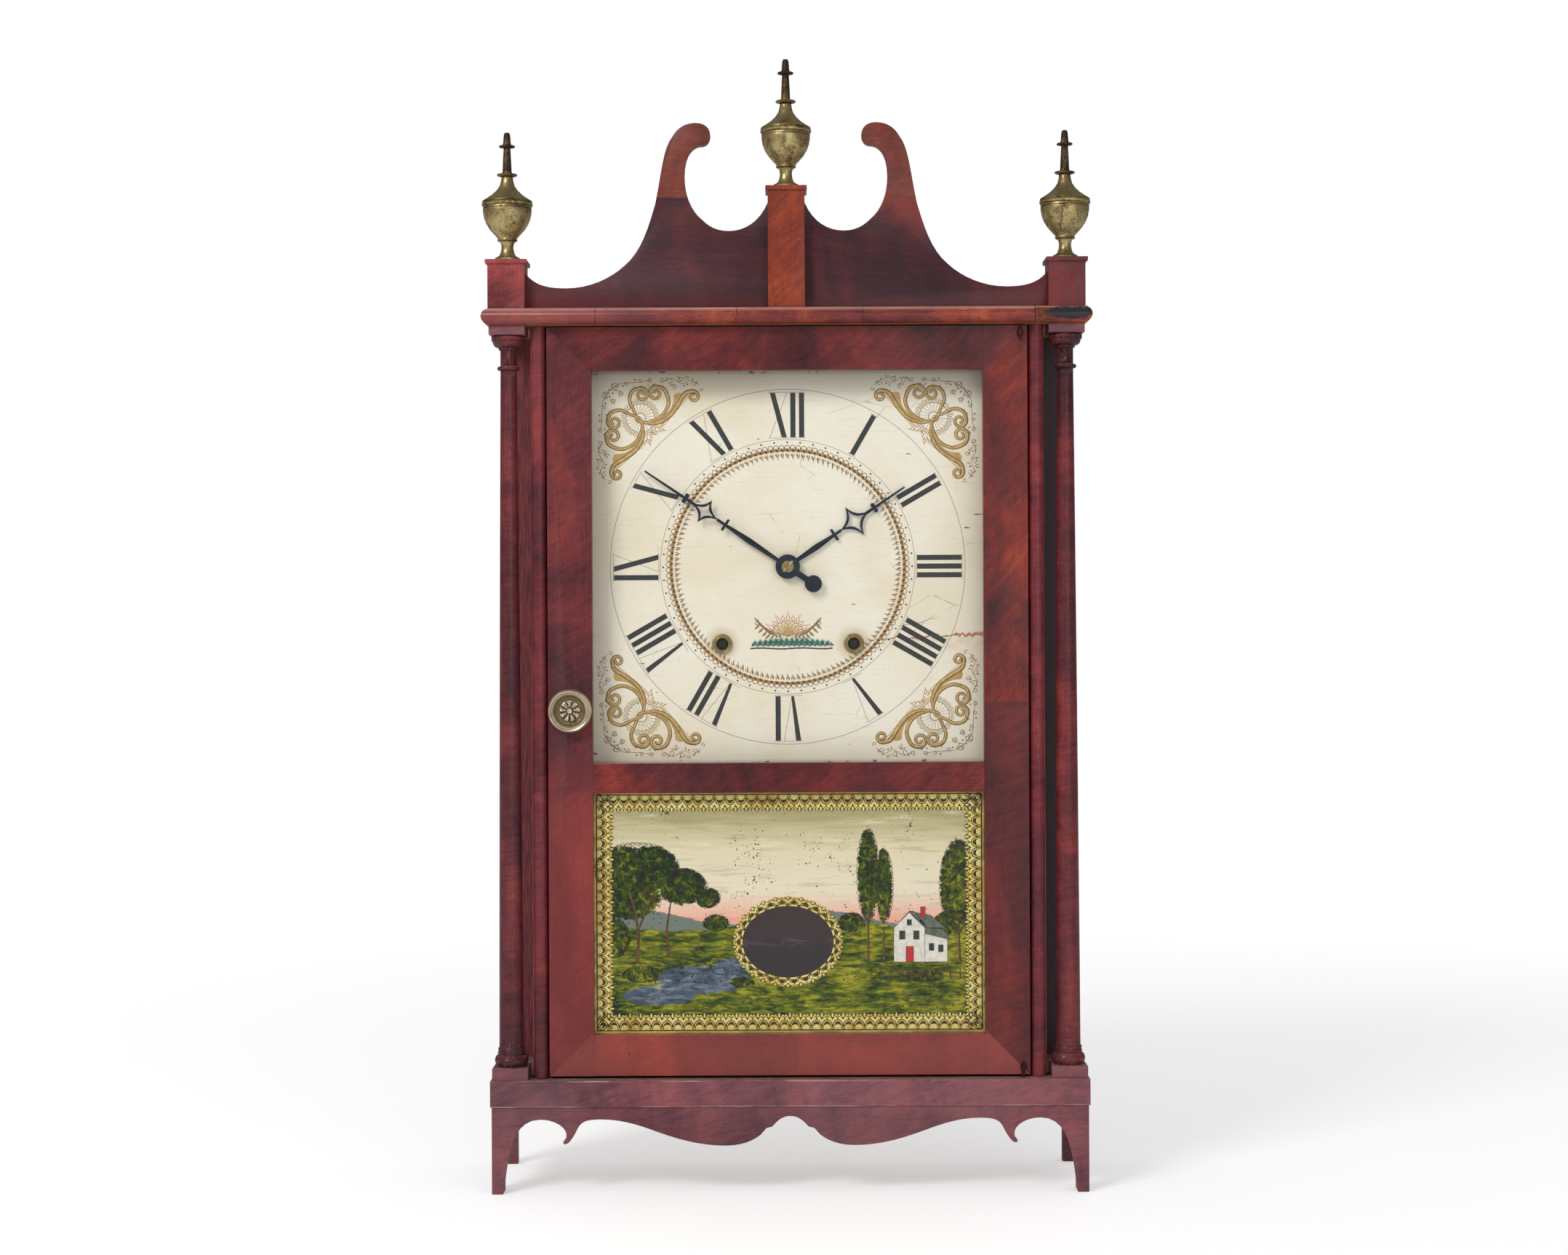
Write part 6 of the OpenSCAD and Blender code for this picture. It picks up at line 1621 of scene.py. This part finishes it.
class CLOCK_OT_brass(bpy.types.Operator):
    """Urn finials, knob with its rosette, eyelets, taper pin, bell and other brass"""

    bl_idname = "clock.brass"
    bl_label = "Brass"

    def execute(self, context):
        pale, brown = rgb(176, 152, 100), rgb(86, 66, 38)
        plain = old_brass("Old brass", pale, brown, 0.4)
        low, high = corners("finials")
        depth, side = (low.y + high.y) / 2, high.x - URN_HALF
        tall = high.z - URN[-1][1]
        urns = [turned("Urn", [(r, foot + h) for r, h in URN], (x, depth), 72)
                for x, foot in ((-side, low.z), (0, tall), (side, low.z))]
        urns = join("Urn_finials", *urns)
        smooth(urns, 32)
        finish_piece(urns, "case", "aged_brass", finial_brass(), instead=("finials",))

        kx, kz, face = KNOB.x, KNOB.z, DOOR_FACE
        parts = [facing("Knob", KNOB_PROFILE, (kx, face, kz), 96)]
        for k in range(9):
            turn = math.tau * (k + 0.5) / 9
            for reach, size, high in ((5.6, 1.5, 6.6), (3.3, 0.8, 6.6)):
                x, z = polar((kx, kz), reach, turn)
                parts.append(bead((x, face - high, z), size))
        knob = join("Knob_with_rosette", *parts)
        smooth(knob, 32)
        finish_piece(knob, "knob", "aged_brass", knob_brass(), instead=("door_knob",))

        low, high = corners("winding_eyelets")
        across, level = high.x - EYELET_HALF, (low.z + high.z) / 2
        eyelets = join("Winding_eyelets", *[facing("Eyelet", EYELET, (x, DIAL_FACE, level))
                                            for x in (-across, across)])
        smooth(eyelets, 32)
        finish_piece(eyelets, "case", "aged_brass", plain, instead=("winding_eyelets",))

        front = corners("centre_arbor")[0].y + 0.7
        pin = tapered("Taper_pin", [(-3.2, front, DIAL_Z - 3.4), (0, front, DIAL_Z + 0.1),
                                    (3.5, front, DIAL_Z + 4.0)], (0.4, 0.5, 0.625))
        smooth(pin)
        finish_piece(pin, "minute", "aged_brass",
                     old_brass("Pin steel", rgb(206, 200, 180), rgb(120, 110, 90), 0.3))
        for node in ("bell", "centre_arbor", "escape_wheel", "fly", "time_pulley",
                     "strike_pulley", "pendulum_rod"):
            dress(node, plain)
        dress("pendulum_bob", old_brass("Bob brass", rgb(70, 54, 38), rgb(34, 24, 18), 0.8))
        return {"FINISHED"}


def area_lamp(name, place, aim, width, height, power, colour):
    """A soft rectangular lamp at a place, turned to its aim."""
    lamp = bpy.data.lights.new(name, "AREA")
    lamp.shape, lamp.size, lamp.size_y = "RECTANGLE", width, height
    lamp.energy, lamp.color = power, colour
    holder = hold(name, lamp)
    holder.location = place
    holder.rotation_euler = (Vector(aim) - Vector(place)).to_track_quat("-Z", "Y").to_euler()


def background_ray(finish):
    """1 for the rays that should see a plain white surround, 0 for those that light it."""
    path = finish.tree.nodes.new("ShaderNodeLightPath")
    seen = [Tone(finish, path.outputs[name])
            for name in ("Is Camera Ray", "Is Transmission Ray")]
    return (seen[0] + seen[1]).clear()


# How far the camera stands to the side, how it leans, and how far its picture is shifted
CAMERA_ACROSS, CAMERA_ROLL, CAMERA_SHIFT = -0.0028, 0.27, -20.5 / 2156


class CLOCK_OT_stage(bpy.types.Operator):
    """Camera, pale floor, white surround and soft lamps from the upper left"""

    bl_idname = "clock.stage"
    bl_label = "Stage"

    def execute(self, context):
        scene, stage = context.scene, context.scene.clock_stage
        camera = bpy.data.cameras.new("Camera")
        camera.sensor_width, camera.lens = 36, stage.lens
        camera.shift_y = CAMERA_SHIFT
        camera.clip_start, camera.clip_end = 0.05, 60
        holder = hold("Camera", camera)
        holder.location = (CAMERA_ACROSS, CAD_BOX[0].y - stage.distance, stage.eye_height)
        holder.rotation_euler = (math.pi / 2, math.radians(CAMERA_ROLL), 0)
        scene.camera = holder

        bpy.ops.mesh.primitive_grid_add(x_subdivisions=4, y_subdivisions=4, size=24,
                                        location=(0, 0, 0))
        floor = context.object
        floor.name = "Floor"
        paper = Finish("Floor paper", Roughness=0.9)
        shade = paper.grain(paper.place, 900, 2, 0.5)
        paper.feed(Base_Color=paper.mix(shade, rgb(236, 236, 238), rgb(240, 240, 241)))
        reach = reach_of(paper.x, paper.y)
        lift = stage.floor_lift + reach.rise(300, 2600) * (0.62 - stage.floor_lift)
        paper.feed(Emission_Color=paper.mix(background_ray(paper) * lift, (0, 0, 0), (1, 1, 1)))
        paper.set(Emission_Strength=1.0, Specular_IOR_Level=0.1)
        floor.data.materials.append(paper.material)

        world = bpy.data.worlds.new("Surround")
        scene.world = world
        world.use_nodes = True
        nodes, links = world.node_tree.nodes, world.node_tree.links
        path = nodes.new("ShaderNodeLightPath")
        seen = nodes.new("ShaderNodeMath")
        seen.operation = "MAXIMUM"
        links.new(path.outputs["Is Camera Ray"], seen.inputs[0])
        links.new(path.outputs["Is Transmission Ray"], seen.inputs[1])
        soft = nodes.new("ShaderNodeMapRange")
        soft.inputs["To Min"].default_value = stage.fill
        soft.inputs["To Max"].default_value = stage.mirrored
        links.new(path.outputs["Is Glossy Ray"], soft.inputs["Value"])
        level = nodes.new("ShaderNodeMapRange")
        links.new(soft.outputs[0], level.inputs["To Min"])
        links.new(seen.outputs[0], level.inputs["Value"])
        backdrop = nodes["Background"]
        backdrop.inputs["Color"].default_value = (1, 1, 1, 1)
        links.new(level.outputs[0], backdrop.inputs["Strength"])

        aim = (0, 0, 0.42)
        area_lamp("Key lamp", (-1.25, -1.7, 1.9), aim, 0.8, 0.8, stage.key, (1, 0.985, 0.96))
        area_lamp("Front fill", (0.9, -2.6, 0.9), aim, 1.6, 1.6, stage.front, (0.97, 0.985, 1))
        scene.view_settings.view_transform = "Standard"
        return {"FINISHED"}


class CaseSettings(bpy.types.PropertyGroup):
    """Finish of the case and door"""

    easing: bpy.props.FloatProperty(
        name="Easing", description="Rounding of the wooden arrises, in millimetres",
        default=0.45, min=0.1, max=1.5)
    tone: bpy.props.FloatProperty(
        name="Tone", description="Lightness of the mahogany", default=1.0, min=0.5, max=1.6,
        subtype="FACTOR")
    dust: bpy.props.FloatProperty(
        name="Dust", description="Dust on the ledges", default=0.5, min=0, max=1,
        subtype="FACTOR")


class DialSettings(bpy.types.PropertyGroup):
    """Colours of the dial's ground"""

    ground: bpy.props.FloatVectorProperty(
        name="Ground", description="Cream paint of the dial", subtype="COLOR", size=3,
        default=rgb(250, 244, 226), min=0, max=1)
    aged: bpy.props.FloatVectorProperty(
        name="Aged ground", description="Cream paint where it has yellowed", subtype="COLOR",
        size=3, default=rgb(243, 232, 205), min=0, max=1)


class StageSettings(bpy.types.PropertyGroup):
    """Camera and lamps"""

    lens: bpy.props.FloatProperty(
        name="Lens", description="Focal length in millimetres", default=60.57, min=20, max=200)
    distance: bpy.props.FloatProperty(
        name="Distance", description="Camera in front of the clock", default=1.85, min=0.5,
        max=6, unit="LENGTH")
    eye_height: bpy.props.FloatProperty(
        name="Eye height", description="Camera above the shelf", default=0.408, min=0, max=2,
        unit="LENGTH")
    fill: bpy.props.FloatProperty(
        name="Fill", description="Strength of the soft light all round", default=0.5, min=0,
        max=2)
    mirrored: bpy.props.FloatProperty(
        name="Mirrored surround", description="Strength of the surround in glossy surfaces",
        default=0.14, min=0, max=2)
    floor_lift: bpy.props.FloatProperty(
        name="Floor lift", description="How much whiter the camera sees the floor",
        default=0.4, min=0, max=1)
    key: bpy.props.FloatProperty(
        name="Key", description="Power of the lamp at the upper left", default=26, min=0,
        max=500, unit="POWER")
    front: bpy.props.FloatProperty(
        name="Front", description="Power of the broad lamp in front", default=10, min=0,
        max=500, unit="POWER")


SETTINGS = {"clock_case": CaseSettings, "clock_dial": DialSettings, "clock_stage": StageSettings}
STEPS = (
    CLOCK_OT_stage, CLOCK_OT_case, CLOCK_OT_boards, CLOCK_OT_door, CLOCK_OT_crest,
    CLOCK_OT_brass, CLOCK_OT_movement, CLOCK_OT_dial, CLOCK_OT_ornament, CLOCK_OT_tablet,
)


class CLOCK_PT_pieces(bpy.types.Panel):
    """Sidebar panel with the settings and one button for each group of pieces"""

    bl_idname = "CLOCK_PT_pieces"
    bl_label = "Shelf clock"
    bl_space_type = "VIEW_3D"
    bl_region_type = "UI"
    bl_category = "Shelf clock"

    def draw(self, context):
        for name, group in SETTINGS.items():
            box = self.layout.box()
            for key in group.__annotations__:
                box.prop(getattr(context.scene, name), key)
        for step in STEPS:
            self.layout.operator(step.bl_idname)


def register():
    """Add the operators, the panel and the settings."""
    for each in (*SETTINGS.values(), *STEPS, CLOCK_PT_pieces):
        bpy.utils.register_class(each)
    for name, group in SETTINGS.items():
        setattr(bpy.types.Scene, name, bpy.props.PointerProperty(type=group))


def unregister():
    """Take away what register() adds."""
    for name in SETTINGS:
        delattr(bpy.types.Scene, name)
    for each in (CLOCK_PT_pieces, *reversed(STEPS), *SETTINGS.values()):
        bpy.utils.unregister_class(each)


def main():
    """Build every group of pieces."""
    register()
    for step in STEPS:
        group, name = step.bl_idname.split(".")
        getattr(getattr(bpy.ops, group), name)()
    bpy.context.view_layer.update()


if __name__ == "__main__":
    main()
